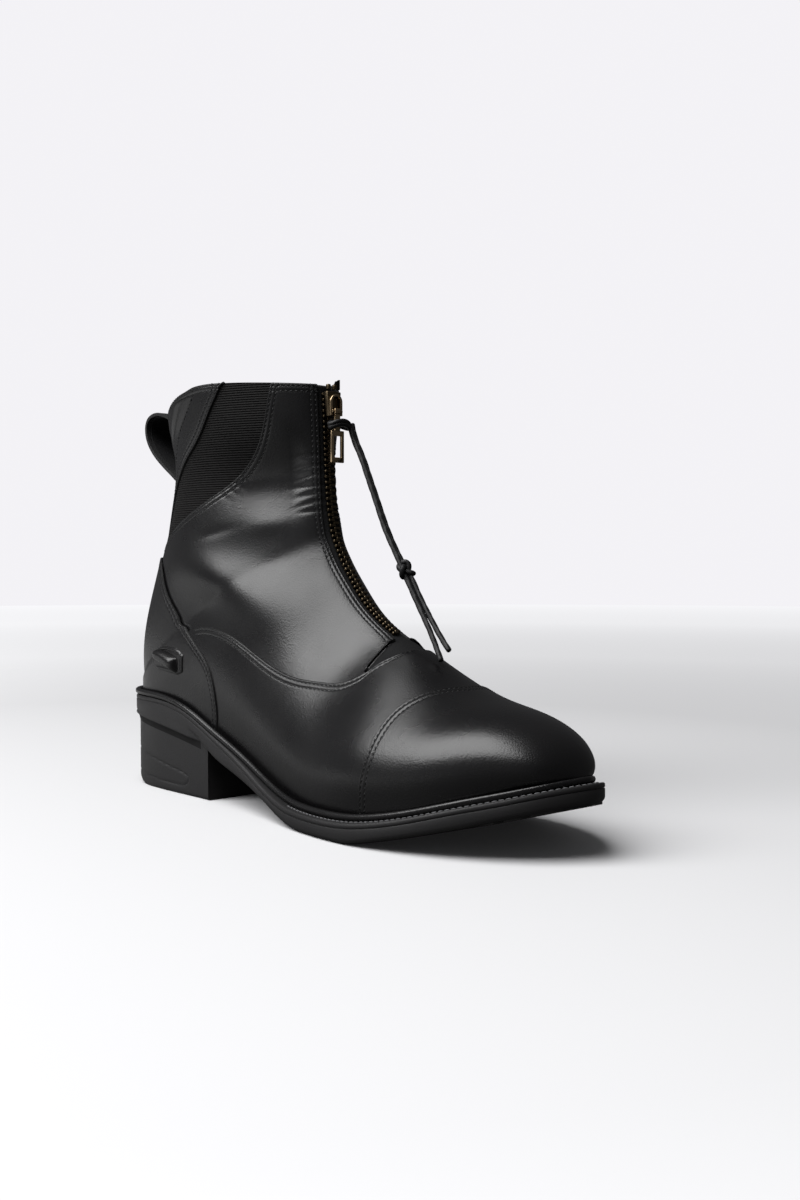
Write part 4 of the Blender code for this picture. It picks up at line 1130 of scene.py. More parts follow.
# %% Panel maker
def panel_half(name, piece, grid, height, kinds, side):
    """One side of a panel, still without thickness."""
    along, around = grid[..., 0], np.clip(grid[..., 1], 0, 1)
    on_middle = (around < 1e-6) | ((around > 1 - 1e-6) & (along > HEEL_POINT - 1e-6))
    spots = surface(along, side * around)
    outward = normal(along, side * around)
    outward[on_middle, 1] = 0.0
    outward /= np.linalg.norm(outward, axis=-1)[..., None]
    points = spots + (height + relief(spots, side))[..., None] * outward
    points[on_middle, 1] = 0.0
    PANEL_ROWS[name, side] = (points, outward)
    i, j = points.shape[0] // 2, points.shape[1] // 2
    faces_out = np.cross(points[i, j + 1] - points[i, j], points[i + 1, j] - points[i, j])
    painted = painted_edges(points.shape, kinds, SEWN[name, "front"], SEWN[name, "back"])
    if np.dot(faces_out, outward[i, j]) < 0:
        points = points[:, ::-1]
        painted = painted[:, ::-1]
    half = grid_piece(piece, points)
    half.data.materials.append(black_leather)
    half.data.materials.append(edge_paint)
    half.data.polygons.foreach_set("material_index", np.ascontiguousarray(painted).ravel())
    return half


def everywhere(spots, around):
    """An edge that is sewn along its whole length."""
    return np.ones_like(around)


def panel(name, places, level, kinds, sides, thick=1.1, spacing=1.1, lift=None, stuff="leather",
          sewn=(everywhere, everywhere)):
    """A panel on one or both sides; kinds name its front, back, start and end edges."""
    piece = name + "_" + stuff
    grid, from_start, from_end = respace(places, kinds[2:], spacing)
    across = respace(np.swapaxes(grid, 0, 1), kinds[:2], spacing)
    grid, from_front, from_back = (np.swapaxes(rows, 0, 1) for rows in across)
    from_start = np.repeat(np.median(from_start, axis=1)[:, None], grid.shape[1], 1)
    from_end = np.repeat(np.median(from_end, axis=1)[:, None], grid.shape[1], 1)
    height = panel_height(name, grid, level, kinds, sewn, (from_front, from_back, from_start, from_end))
    if lift is not None:
        height = height + lift(grid[..., 0], np.clip(grid[..., 1], 0, 1), from_start)
    halves = [panel_half(name, piece, grid, height, kinds, side) for side in sides]
    item = halves[0]
    if len(halves) > 1:
        item = join(piece, halves)
        weld(item, 2e-5)
    apply_modifier(item, "SOLIDIFY", thickness=thick * MM, offset=-1.0, use_even_offset=False)
    smooth_shade(item, 50)
    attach(item, "boot")
    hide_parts(name)
    print(name, len(item.data.polygons), "faces")
    return item


# %% [markdown]
# ## Toe cap, vamp and counter
# The toe cap lies over the vamp, and the counter lies over the vamp and the quarters at the heel.
# The edges that show are folded and carry two rows of stitches. The foot edges go down behind the welt.

# %% Lower panels
TOE_START = 0.005           # the cap begins just behind the toe's tip, where all lines meet
COUNTER_TIP = COUNTER_LOW[0]
toe_edge = line([(TOE_START, 0), (TOE_START, 1)], len(cap_seam))
cap = fill(line([toe_edge[0], cap_seam[0]], 61), line([toe_edge[-1], cap_seam[-1]], 61), toe_edge, cap_seam)
panel("toe_cap", cap, 0.5, ("middle", "foot", "foot", "folded"), BOTH)

vamp_top = joined(line([cap_seam[0], vamp_front[0]], 17), vamp_front, vamp_side)
vamp = fill(vamp_top, line([cap_seam[-1], counter_low[-1]], len(vamp_top)), cap_seam, counter_low)


def clear_of_counter(spots, around):
    """The vamp's fold runs out where the counter covers it."""
    return smooth(np.hypot(spots[..., 0] - COUNTER_TIP[0], spots[..., 2] - COUNTER_TIP[1]), 3.0, 7.0)


panel("vamp", vamp, 0.0, ("folded", "foot", "tucked", "tucked"), BOTH, sewn=(clear_of_counter, everywhere))

counter_front = joined(counter_high, counter_low)
counter_top = (counter_front[0, 0], 1)
counter = fill(counter_front, line([counter_top, (HEEL_POINT, 1)], len(counter_front)),
               line([counter_front[0], counter_top], 41), line([counter_front[-1], (HEEL_POINT, 1)], 41))
panel("counter", counter, 0.5, ("folded", "middle", "plain", "foot"), BOTH)


# %% [markdown]
# ## Quarters and gores
# The quarters wrap the ankle from the zip back to the gores, which are elastic so that the shaft can
# give way to the heel of the foot. The gores lie deeper, and the quarters' folded edges are sewn over
# them.

# %% Quarters and gores
def respread(rows, count):
    """Evenly spaced places on a line of places."""
    run = lengths(surface(rows[:, 0], -rows[:, 1]))
    at = np.linspace(0, run[-1], count)
    return np.stack([np.interp(at, run, rows[:, 0]), np.interp(at, run, rows[:, 1])], -1)


def beside_zip(spots, around):
    """The quarter's front is folded along the zip, and only cut where it leaves for the throat."""
    return 1 - smooth(around, ZIP_EDGE[-1][1] - 0.001, ZIP_EDGE[-1][1] + 0.02)


def beside_gore(spots, around):
    """The quarter's rear edge is folded along the gore and flat under the counter."""
    return smooth(spots[..., 2], 111.5, 117.0)


throat_side = line([ZIP_EDGE[-1], vamp_front[-1] + np.array([0.012, 0.0])], 9)
zip_side = joined(line(ZIP_EDGE, 91), throat_side)
rear_side = respread(joined(gore_side, counter_high), len(zip_side))
lower_side = vamp_side.copy()
lower_side[0] = throat_side[-1]
quarter = fill(zip_side, rear_side, line([zip_side[0], gore_side[0]], len(lower_side)), lower_side)
gore = fill(gore_side, strip_side, line([gore_side[0], strip_side[0]], 25),
            line([gore_side[-1], strip_side[-1]], 25))
gore_pieces = []
for side, word in SIDE_WORDS:
    panel("quarter_" + word, quarter, -0.45, ("folded", "folded", "folded", "tucked"), (side,), spacing=0.85,
          sewn=(beside_zip, beside_gore))
    gore_pieces.append(panel("gore_" + word, gore, -0.75, ("tucked", "tucked", "plain", "tucked"), (side,),
                             stuff="elastic"))


# %% [markdown]
# ## Back strip
# The back strip covers the rear seam from the collar down to the counter. Its upper part is padded, so
# that the collar doesn't rub, and rolls over the collar. The pad swells behind a line of stitches and
# has a few lengthwise wrinkles.

# %% Back strip
PAD_LINE = [(74.5, 187.6), (69.1, 180.9), (60.8, 172.9), (52.0, 164.1), (46.5, 156.0)]
PAD_WRINKLES = ((0.45, 0.07, 0.013), (0.5, 0.13, 0.016), (0.35, 0.2, 0.02))     # depth, place, half width
RIM_ROLL = 2.6              # radius with which the padded rim rolls over
pad_line = seam(PAD_LINE, 41)


def collar_top(around):
    """Where the collar ends: it sinks a little towards the soft back."""
    return 1 - 0.02 * smooth(np.abs(around), 0.42, 0.95)


def padding(along, around, inside):
    """Height of the soft pad behind the strip's rear stitches."""
    sewn_at = np.interp(along, pad_line[::-1, 0], pad_line[::-1, 1])
    behind = around - sewn_at
    high = smooth(along, pad_line[-1, 0] - 0.01, pad_line[-1, 0] + 0.05)
    rolled = RIM_ROLL - np.clip(inside, 0, RIM_ROLL)
    rim_roll = RIM_ROLL - np.sqrt(RIM_ROLL ** 2 - rolled ** 2)
    pad = 1.7 * smooth(behind, 0.0, 0.11) * smooth(inside, -2, 5)
    wrinkles = -sum(depth * bump(behind, at, half) for depth, at, half in PAD_WRINKLES)
    channel = -0.4 * bump(behind, 0.0, 0.008)
    return high * (pad - rim_roll * smooth(behind, 0, 0.06) + (wrinkles + channel) * smooth(inside, 2, 7))


rim = np.linspace(strip_side[0, 1], 1, 41)
strip_top = np.stack([collar_top(rim), rim], -1)
strip_foot = (strip_side[-1, 0], 1)
strip = fill(strip_side, line([strip_top[-1], strip_foot], len(strip_side)),
             strip_top, line([strip_side[-1], strip_foot], 41))
panel("back_strip", strip, 0.0, ("folded", "middle", "folded", "tucked"), BOTH, lift=padding)


# %% [markdown]
# ## Throat gusset
# Under the zip's foot a matt cloth gusset fills the throat between the vamp and both quarters, so that
# the boot can open wide there.

# %% Throat gusset
zip_foot = (ZIP_EDGE[-1][0], 0)
throat_top = joined(line([zip_foot, ZIP_EDGE[-1]], 5), throat_side)
throat = fill(line([vamp_front[0], zip_foot], 25), line([vamp_front[-1], throat_side[-1]], 25),
              vamp_front, throat_top)
throat_gusset = panel("throat_gusset", throat, -0.75, ("middle", "tucked", "tucked", "tucked"), BOTH,
                      thick=0.7, stuff="cloth")


# %% [markdown]
# ## Spur rests
# A spur's strap would slip down the heel, so a small padded block is sewn to the counter on each side.
# It is a grid between four corners, raised to a slanting bolster with a flat sewn rim.

# %% Spur rests
REST_LONG = 13.0            # half length
REST_TALL = 5.75            # half height
corners = [locate(*corner) for corner in SPUR_REST]
rest = fill(line(corners[:2], 81), line([corners[3], corners[2]], 81),
            line([corners[0], corners[3]], 49), line(corners[1:3], 49))
long = np.linspace(-REST_LONG, REST_LONG, 81)[:, None]
tall = np.linspace(-REST_TALL, REST_TALL, 49)[None, :]
slope = np.abs(tall - 0.2 * long)
bolster_length = np.clip(1 - (np.abs(long) / 8.8) ** 8, 0, 1) ** 0.5
bolster = bolster_length * np.clip(1 - (slope / 3.1) ** 2.4, 0, 1) ** 0.5
rim_gap = np.minimum(REST_LONG - np.abs(long), REST_TALL - np.abs(tall))
pad_edge = 0.45 * smooth(rim_gap, 0, 0.6) - 0.22 * bump(rim_gap, 1.5, 0.35)
corner_cut = smooth(np.abs(long) / REST_LONG + np.abs(tall) / REST_TALL, 1.55, 1.75)
rest_height = 0.42 + pad_edge + 3.3 * bolster - 0.9 * corner_cut
rest_rows = {}
rest_blocks = []
for side, word in SIDE_WORDS:
    spots = surface(rest[..., 0], side * rest[..., 1])
    outward = normal(rest[..., 0], side * rest[..., 1])
    points = spots + rest_height[..., None] * outward
    rest_rows[side] = (points, outward)
    item = grid_piece("spur_rest_block_" + word, points if side > 0 else points[:, ::-1])
    apply_modifier(item, "SOLIDIFY", thickness=0.4 * MM, offset=-1.0, use_even_offset=False)
    face_out(item)
    smooth_shade(item, 50)
    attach(item, "boot")
    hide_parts("spur_rest_" + word)
    rest_blocks.append(item)
print("spur rests", len(rest_blocks))


# %% [markdown]
# ## Zip tape
# The woven tape that carries the zip's teeth is sewn in behind the quarters' edges. It lies deepest of
# all panels.

# %% Zip tape
TAPE_TOP = 0.997
tape_side = [(TAPE_TOP, 0.033)] + ZIP_EDGE[1:-1] + [(ZIP_EDGE[-1][0] + 0.004, 0.045)]
tape_foot = (tape_side[-1][0], 0)
tape = fill(line([(TAPE_TOP, 0), tape_foot], 61), line(tape_side, 61),
            line([(TAPE_TOP, 0), tape_side[0]], 9), line([tape_foot, tape_side[-1]], 9))
zip_tape = panel("zip_tape", tape, -1.0, ("middle", "tucked", "plain", "tucked"), BOTH, thick=0.55,
                 stuff="cloth")


# %% [markdown]
# ## Lining
# Inside, the boot is lined with one smooth shell from the toe to the collar. Its rim is seen behind
# the top edges of the panels, so it is rolled too.

# %% Lining
LINING_DEPTH = 2.4          # under the surface of the last
inner_rows = np.concatenate([np.linspace(0.012, 0.97, 150), np.linspace(0.972, 1.0, 14)])
inner_columns = np.linspace(-1, 1, 121)
inner_v, inner_u = np.meshgrid(inner_rows, inner_columns, indexing="ij")
near_rim = np.clip((inner_v - 0.9) / 0.1, 0, 1)
inner_v = inner_v - near_rim * (1 - collar_top(inner_u))
top_edge = np.clip((near_rim - 0.92) / 0.08, 0, 1)
inner_level = -LINING_DEPTH - 0.6 * top_edge ** 2
lining_points = surface(inner_v, inner_u)
hollows = np.where(inner_u < 0, relief(lining_points, -1), relief(lining_points, 1))
inner_level = inner_level + np.minimum(hollows, 0) * smooth(np.abs(inner_u), 0.03, 0.1)
lining_points = lining_points + inner_level[..., None] * normal(inner_v, inner_u)
closed = inner_rows >= HEEL_POINT
back_line = (lining_points[closed, 0] + lining_points[closed, -1]) / 2
lining_points[closed, 0] = back_line
lining_points[closed, -1] = back_line
lining = grid_piece("lining", lining_points[:, ::-1])
weld(lining, 1e-5)
face_out(lining)
apply_modifier(lining, "SOLIDIFY", thickness=1.1 * MM, offset=-1.0, use_even_offset=False)
smooth_shade(lining, 60)
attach(lining, "boot")
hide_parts("upper")
print("lining", len(lining.data.polygons), "faces")


# %% [markdown]
# ## Rings round the sole
# All of the sole is cut or moulded round one outline. So its pieces are lofts through copies of that
# outline, each drawn in by its own inset at its own height. A loft closes on the outline's middle line,
# where its faces follow the curve of the sole better than one large cap would.

# %% Rings round the sole
END_ROOM = 16.0             # the middle line stops this far from both ends


def middle_line(steps):
    """The outline folded onto its own middle, so that a loft closes there."""
    ring = outline_ring(0.0, steps)
    across = np.roll(ring[::-1], 1, 0)
    ring[:, 1] = (ring[:, 1] + across[:, 1]) / 2
    ring[:, 0] = END_ROOM + ring[:, 0] * (SOLE_LENGTH - 2 * END_ROOM) / SOLE_LENGTH
    return ring


def ring_loft(name, levels, steps):
    """A loft through rings, each given as an inset and a height; inset None is the middle line."""
    rings = []
    for inset, height in levels:
        ring = middle_line(steps) if inset is None else outline_ring(inset, steps)
        rings.append(np.concatenate([ring, height(ring[:, 0])[:, None]], 1))
    return grid_piece(name, np.array(rings), wrap_columns=True)


def over(base, rise):
    """A line that runs this much over another one."""
    return lambda x: base(x) + rise


print("middle line from", middle_line(100)[:, 0].min(), "to", middle_line(100)[:, 0].max())


# %% [markdown]
# ## Outsole
# The outsole is one rubber moulding. Its lower edge is chamfered, and a fine groove runs round its wall
# under the ledge. Inside a plain rim the forefoot is sunk a little, which gives the tread its depth.

# %% Outsole
TREAD_DEEP = 1.2
TREAD_BACK = 112.0          # where the tread begins, behind the ball
TOE_TREAD = 256.0           # from about here its bars reach out towards the edge of the toe
TOE_LIFT = 0.5              # how far the rim stays above the bars there


def heel_back(x):
    """1 at the heel's back, fading out along its sides."""
    return 1 - smooth(x, 0, 26)


def chamfer(inset):
    """The chamfer of the lower edge stops where the heel takes over."""
    return lambda x: inset * np.maximum(smooth(x, HEEL_BREAST - 15, HEEL_BREAST - 4), 0.3 * heel_back(x))


def groove_floor(x):
    """The ground between the bars of the tread."""
    return underside(x) + TREAD_DEEP * smooth(x, TREAD_BACK - 8, TREAD_BACK)


def rim_foot(x):
    """Height of the plain rim round the tread."""
    return underside(x) + TOE_LIFT * smooth(x, TOE_TREAD - 10, TOE_TREAD + 5)


outsole_levels = [
    (None, groove_floor), (9.0, groove_floor), (4.2, groove_floor), (3.8, rim_foot),
    (chamfer(2.4), rim_foot), (chamfer(1.5), over(rim_foot, 0.2)), (chamfer(0.75), over(rim_foot, 0.7)),
    (chamfer(0.2), over(rim_foot, 1.4)), (0.0, over(rim_foot, 2.2)), (0.0, over(ledge, -2.6)),
    (0.1, over(ledge, -2.35)), (0.4, over(ledge, -2.2)), (0.4, over(ledge, -2.0)), (0.1, over(ledge, -1.85)),
    (0.0, over(ledge, -1.6)), (0.05, over(ledge, -0.8)), (0.3, over(ledge, -0.3)), (0.8, over(ledge, -0.03)),
    (1.3, ledge), (2.4, ledge), (over(welt_margin, 4.0), ledge), (None, ledge)]
outsole = ring_loft("outsole_rubber", outsole_levels, 220)
face_out(outsole)
smooth_shade(outsole, 35)
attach(outsole, "boot")
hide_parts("outsole")
print("outsole", len(outsole.data.polygons), "faces")


# %% [markdown]
# ## Small shapes, copied
# Tread bars, zip teeth and stitches are small shapes that repeat many times. One is modelled, its points
# are taken, and every copy gets points of its own, so that it can follow the surface where it lies.

# %% Small shapes
def bevelled_cube(size, bevel, segments, centre=(0.0, 0.0, 0.0)):
    """A block with bevelled edges; its centre is in metres."""
    only()
    bpy.ops.mesh.primitive_cube_add(size=1, location=centre)
    bpy.ops.object.mode_set(mode="EDIT")
    bpy.ops.mesh.select_all(action="SELECT")
    bpy.ops.transform.resize(value=tuple(np.array(size) * MM))
    if bevel:
        bpy.ops.mesh.bevel(offset=bevel * MM, segments=segments, affect="EDGES")
    bpy.ops.object.mode_set(mode="OBJECT")
    return bpy.context.object


def take_shape(item):
    """Points and faces of a shape, which is then removed."""
    points = np.array([v.co[:] for v in item.data.vertices])
    faces = [tuple(p.vertices) for p in item.data.polygons]
    bpy.data.objects.remove(item)
    return points, faces


def scatter(name, copies):
    """One piece made of many copies, each given as its points and faces."""
    points = []
    faces = []
    count = 0
    for copy_points, copy_faces in copies:
        faces.extend(tuple(count + i for i in face) for face in copy_faces)
        points.append(copy_points)
        count += len(copy_points)
    mesh = bpy.data.meshes.new(name)
    mesh.from_pydata(place(np.concatenate(points)).tolist(), [], faces)
    item = bpy.data.objects.new(name, mesh)
    bpy.context.scene.collection.objects.link(item)
    return item


print("copying helpers ready")


# %% [markdown]
# ## Tread
# Under the forefoot the rubber is moulded into short bars that grip a stirrup or wet ground. One
# bevelled bar is made and copied. Each copy is stretched from the middle groove to the rim, swept back
# a little, and laid on the curve of the underside. At the toe the bars run out to the edge.

# %% Tread
BAR = np.array((5.0, 30.0, 2.0))    # size of a bar before it is stretched
BAR_STEP = 7.4
BAR_SWEEP = 5.0             # its outer end lies this far behind its inner one
GROOVE_HALF = 1.2           # half width of the middle groove
bar_points, bar_faces = take_shape(bevelled_cube(BAR, 0.3, 1))
bar_points = bar_points / MM / BAR


def lay_bar(middle, side):
    """One bar from the middle groove to the rim of one side."""
    out = bar_points[:, 1] + 0.5
    x = np.clip(middle + bar_points[:, 0] * BAR[0] - BAR_SWEEP * out, 0, SOLE_LENGTH - 1.0)
    halves = {-1: outline_half(x, 1), 1: outline_half(x, 2)}
    centre = (halves[1] - halves[-1]) / 2
    margin = 4.6 - 3.1 * smooth(x, TOE_TREAD - 10, TOE_TREAD + 5)
    reach = np.maximum(side * (side * halves[side] - centre) - margin, 1.5)
    y = centre + side * (GROOVE_HALF + out * (reach - GROOVE_HALF))
    return np.stack([x, y, underside(x) + (bar_points[:, 2] + 0.5) * BAR[2]], -1)


bars = []
for middle in np.arange(TREAD_BACK + 10, SOLE_LENGTH - 2, BAR_STEP):
    for side in BOTH:
        bars.append((lay_bar(middle, side), [face[::side] for face in bar_faces]))
tread = scatter("sole_tread", bars)
face_out(tread)
smooth_shade(tread, 30)
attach(tread, "boot")
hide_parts("outsole")
print("tread bars", len(bars))


# %% [markdown]
# ## Lines of the heel
# Such a heel is usually a rubber moulding that is nailed or screwed on from inside. Its collar runs on
# from the wall of the sole down to a step, which falls towards the breast. Below it the wall flares in,
# and a leaf shaped line is moulded in each side. These are the lines that its rings follow.

# %% Heel lines
HEEL_MARK = np.array([(0, 18.4), (15, 17.2), (33, 14.9), (50, 12.3), (63, 10.4), (67.2, 9.2), (68.3, 7.6),
                      (67.2, 5.6), (64, 4.3), (45, 4.4), (30, 5.2), (15, 6.2), (0, 6.8)])
HEEL_FLARE = 3.7            # height of the flare under the collar's step


def near_mark(x, z):
    """Distance from the moulded line on the heel's side."""
    best = np.full(np.shape(x), 99.0)
    for a, b in zip(HEEL_MARK[:-1], HEEL_MARK[1:]):
        reach = b - a
        t = np.clip(((x - a[0]) * reach[0] + (z - a[1]) * reach[1]) / (reach @ reach), 0, 1)
        best = np.minimum(best, np.hypot(x - a[0] - t * reach[0], z - a[1] - t * reach[1]))
    return best


def at_back(value, more):
    """A value with more of it at the heel's back."""
    return lambda x: value + more * heel_back(x)


def heel_top(x):
    """The block reaches a little into the outsole."""
    return underside(x) + 0.3


def crease(x):
    """The step under the heel's collar falls towards the breast."""
    fall = 9.7 * (np.clip(x, 0, HEEL_BREAST) / HEEL_BREAST) ** 1.6
    return np.minimum(35.2 - fall, heel_top(x) - 0.9)


print("step falls from", crease(0.0).round(1), "to", crease(HEEL_BREAST).round(1))


# %% [markdown]
# ## Heel
# Rings at rising heights draw the whole block: a bevelled foot, the wall with the sunken line, the
# flare up to the step, and the collar with a notch at the back. Under the step the rubber is matt, and
# darker there: painted shade in the recess under the collar.

# %% Heel
HEEL_STEPS = 230
HEEL_FOOT = (1.7, 5.0)      # height of the bevelled foot, and what is added at the back
# inset of the lowest rings and what is added at the back, then the same for their height
BEVEL = ((12.0, 0.0, 0.0, 0.0), (3.0, 6.0, 0.0, 0.0), (2.5, 5.6, 0.25, 0.1), (2.0, 1.2, 0.9, 4.6),
         (1.9, 0.1, *HEEL_FOOT))
# inset of the flare's rings and their drop under the step
FLARE = ((1.7, 3.2), (1.4, 2.0), (0.95, 0.9), (0.3, 0.15), (0.1, 0.02))
# inset of the collar's rings, depth of the notch at the back, share of the collar's height
COLLAR = ((0.0, 0.0, 0.06), (0.0, 0.0, 0.25), (0.0, 0.1, 0.4), (0.02, 0.4, 0.55), (0.04, 0.8, 0.7),
          (0.06, 1.0, 0.82), (0.06, 1.0, 0.92), (0.06, 0.8, 1.0), (9.0, 0.0, 1.0))
heel_foot = at_back(*HEEL_FOOT)
heel_rings = []


def heel_ring(inset, height):
    """Adds one ring of the block."""
    ring = outline_ring(inset, HEEL_STEPS, HEEL_BREAST)
    base = outline_ring(0.0, HEEL_STEPS, HEEL_BREAST)
    heel_rings.append(np.concatenate([ring, height(base[:, 0])[:, None]], 1))


def wall_height(share):
    return lambda x: heel_foot(x) + share * (crease(x) - HEEL_FLARE - heel_foot(x))


def wall_inset(share):
    return 1.9 - 0.1 * share


def marked_wall(share):
    """The wall's inset, with the moulded line sunk into it."""
    height = wall_height(share)
    return lambda x: wall_inset(share) + 0.4 * bump(near_mark(x, height(x)), 0, 0.42)


def collar_inset(inset, notch):
    """The collar fades into the plain wall at the breast and has a notch at the back."""
    def drawn_in(x):
        fade = smooth(x, HEEL_BREAST - 15, HEEL_BREAST - 3)
        return inset + (wall_inset(1) - inset) * fade + notch * heel_back(x)
    return drawn_in


def collar_height(share):
    return lambda x: crease(x) + share * (heel_top(x) - crease(x))


for inset, more_inset, height, more_height in BEVEL:
    heel_ring(at_back(inset, more_inset), at_back(height, more_height))
for share in np.linspace(0, 1, 42)[1:]:
    heel_ring(marked_wall(share), wall_height(share))
for inset, drop in FLARE:
    heel_ring(collar_inset(inset, 0.0), over(crease, -drop))
for inset, notch, share in COLLAR:
    heel_ring(collar_inset(inset, notch), collar_height(share))
heel = grid_piece("heel_rubber", np.array(heel_rings), wrap_columns=True)
close_ends(heel)
smooth_shade(heel, 32)
heel.data.materials.append(rubber)
heel.data.materials.append(matt_painted_shade_rubber)
# faces in the flare under the step take the darker rubber: painted shade under the collar's overhang
for face in heel.data.polygons:
    x = face.center[0] / MM + HEEL_CENTRE
    under = crease(x) - face.center[2] / MM
    if 0.02 < under < HEEL_FLARE - 0.1 and x < HEEL_BREAST - 6:
        face.material_index = 1
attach(heel, "boot")
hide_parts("heel")
print("heel made of", len(heel_rings), "rings")


# %% [markdown]
# ## Welt and insole
# A rounded leather bead is sewn round the foot of the upper and covers its joint with the ledge. It
# follows the gap between the sole's margin and the upper, so that it hugs the leather. Inside, a thin
# board closes the bottom, so the foot doesn't stand on bare rubber.

# %% Welt and insole
WELT_STEPS = 220
margin_ring = outline_ring(welt_margin, WELT_STEPS)
inward = outline_ring(over(welt_margin, 1.0), WELT_STEPS) - margin_ring
foot_along = np.linspace(0.0, HEEL_POINT, 800)
upper_foot = np.concatenate([surface(foot_along, -1.0), surface(foot_along, 1.0)])[:, :2]
ways = upper_foot[None] - margin_ring[:, None]
nearest = ways[np.arange(len(margin_ring)), np.argmin((ways ** 2).sum(-1), 1)]
upper_gap = np.clip((nearest * inward).sum(-1), 0.0, 6.0)
for _ in range(3):
    upper_gap = sum(np.roll(upper_gap, k) for k in range(-4, 5)) / 9

bead = []
for angle in np.linspace(0, 2 * np.pi, 20, endpoint=False):
    inset = -2.5 + 1.15 * math.cos(angle)
    rise = 1.65 + 1.35 * math.sin(angle)
    ring = outline_ring(over(welt_margin, inset), WELT_STEPS) + upper_gap[:, None] * inward
    bead.append(np.concatenate([ring, (ledge(ring[:, 0]) + rise)[:, None]], 1))
welt = grid_piece("welt_bead", np.array(bead), True, True)
face_out(welt)
smooth_shade(welt, 80)
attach(welt, "boot")
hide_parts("welt")

insole_levels = [
    (None, over(ledge, 0.3)), (over(welt_margin, 6.9), over(ledge, 0.3)),
    (over(welt_margin, 6.8), over(ledge, 2.0)), (over(welt_margin, 7.4), over(ledge, 2.7)),
    (over(welt_margin, 9.0), over(ledge, 2.8)), (None, over(ledge, 2.8))]
insole = ring_loft("insole_board", insole_levels, 120)
face_out(insole)
smooth_shade(insole, 35)
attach(insole, "boot")
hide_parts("insole")
print("welt", len(welt.data.polygons), "faces, insole", len(insole.data.polygons), "faces")


# %% [markdown]
# ## Zip teeth
# Two rows of brass teeth interlock down the front. They are stamped from wire and clamped to the tape
# one by one. Here one bevelled tooth is copied along both sides of the ridge, left and right in turn.

# %% Teeth
TOOTH = (1.7, 3.0, 1.15)    # height, width across the boot, length along the zip
TOOTH_STEP = 1.22
tooth_points, tooth_faces = take_shape(bevelled_cube(TOOTH, 0.3, 2))
tooth_points = tooth_points / MM
ridge_along = np.linspace(0.385, 0.985, 600)
ridge_run = lengths(surface(ridge_along, 0.0))
teeth = []
for k, at in enumerate(np.arange(0.6, ridge_run[-1] - 0.4, TOOTH_STEP)):
    along = np.interp(at, ridge_run, ridge_along)
    outward = normal(along, 0.0)
    ahead = surface(along + 0.002, 0.0) - surface(along - 0.002, 0.0)
    ahead /= np.linalg.norm(ahead)
    aside = np.array((0.0, 1.0, 0.0))
    spot = surface(along, 0.0) + outward * -0.35 + aside * (1.05 if k % 2 else -1.05)
    teeth.append((spot + tooth_points @ np.array((outward, aside, ahead)), tooth_faces))
zip_chain = scatter("zip_teeth", teeth)
smooth_shade(zip_chain, 45)
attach(zip_chain, "boot")
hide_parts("zip_chain")
print("teeth", len(teeth))


# %% [markdown]
# ## Blocks and rods
# The slider and its tab are cast from brass in simple forms. Two helpers make them: a block between
# two corners and a short round bar, both with rounded edges as a casting has.

# %% Blocks and rods
def block(name, low, high, bevel):
    """A block between two corners with rounded edges."""
    low, high = np.array(low, float), np.array(high, float)
    item = bevelled_cube(high - low, bevel, 2, place((low + high) / 2))
    item.name = name
    bpy.ops.object.transform_apply(location=True, rotation=False, scale=False)
    return item


def rod(name, centre, radius, wide):
    """A short round bar across the boot."""
    only()
    bpy.ops.mesh.primitive_cylinder_add(vertices=28, radius=radius * MM, depth=wide * MM,
                                        location=place(centre), rotation=(math.pi / 2, 0, 0))
    item = bpy.context.object
    item.name = name
    bpy.ops.object.transform_apply(location=True, rotation=True, scale=False)
    apply_modifier(item, "BEVEL", width=0.25 * MM, segments=2, limit_method="ANGLE")
    return item


print("block and rod helpers ready")


# %% [markdown]
# ## Slider
# The slider is a wedge that closes the teeth, with a bridge like an upturned U in front. A pin in the
# bridge carries the tab. The bridge is a flat bar swept along its U, and two stops above keep the
# slider from running off the zip.

# %% Slider
PIN = (135.9, 0.0, 174.6)
WEDGE_FOOT = 172.6
WEDGE_HIGH = 11.0
ARCH_X = 135.0
ARCH_FOOT = 172.8
ARCH_SPRING = 178.8         # height where the legs end and the half circle begins
ARCH_HALF = 2.75            # half the distance between the legs
body = block("slider_body", (131.4, -3.9, WEDGE_FOOT), (134.1, 3.9, WEDGE_FOOT + WEDGE_HIGH), 0.6)
for vertex in body.data.vertices:
    up_body = (vertex.co.z / MM - WEDGE_FOOT) / WEDGE_HIGH
    vertex.co.y *= 0.74 + 0.26 * smooth(up_body, 0.1, 0.8)
half_turn = np.linspace(np.pi, 0, 25)
legs = np.linspace(ARCH_FOOT, ARCH_SPRING, 15)
arch = np.concatenate([
    np.stack([np.full(15, -ARCH_HALF), legs], -1)[:-1],
    np.stack([ARCH_HALF * np.cos(half_turn), ARCH_SPRING + 2.9 * np.sin(half_turn)], -1),
    np.stack([np.full(15, ARCH_HALF), legs[::-1]], -1)[1:]])
arch_ahead = np.gradient(arch, axis=0)
arch_ahead /= np.linalg.norm(arch_ahead, axis=1)[:, None]
around_bar = np.linspace(0, 2 * np.pi, 20, endpoint=False)
flat = np.sign(np.cos(around_bar)) * np.abs(np.cos(around_bar)) ** 0.5 * 0.6
deep = np.sign(np.sin(around_bar)) * np.abs(np.sin(around_bar)) ** 0.5 * 0.85
arch_rings = []
for (y, z), ahead in zip(arch, arch_ahead):
    arch_rings.append(np.stack([ARCH_X + deep, y - flat * ahead[1], z + flat * ahead[0]], -1))
bridge = grid_piece("slider_bridge", np.array(arch_rings), wrap_columns=True)
close_ends(bridge)
pin = rod("slider_pin", PIN, 0.7, 5.6)
stops = [block("top_stop", (131.0, y - 0.9, 184.6), (132.9, y + 0.9, 186.9), 0.5) for y in (-1.7, 1.7)]
zip_slider = join("slider_brass", [bridge, pin])
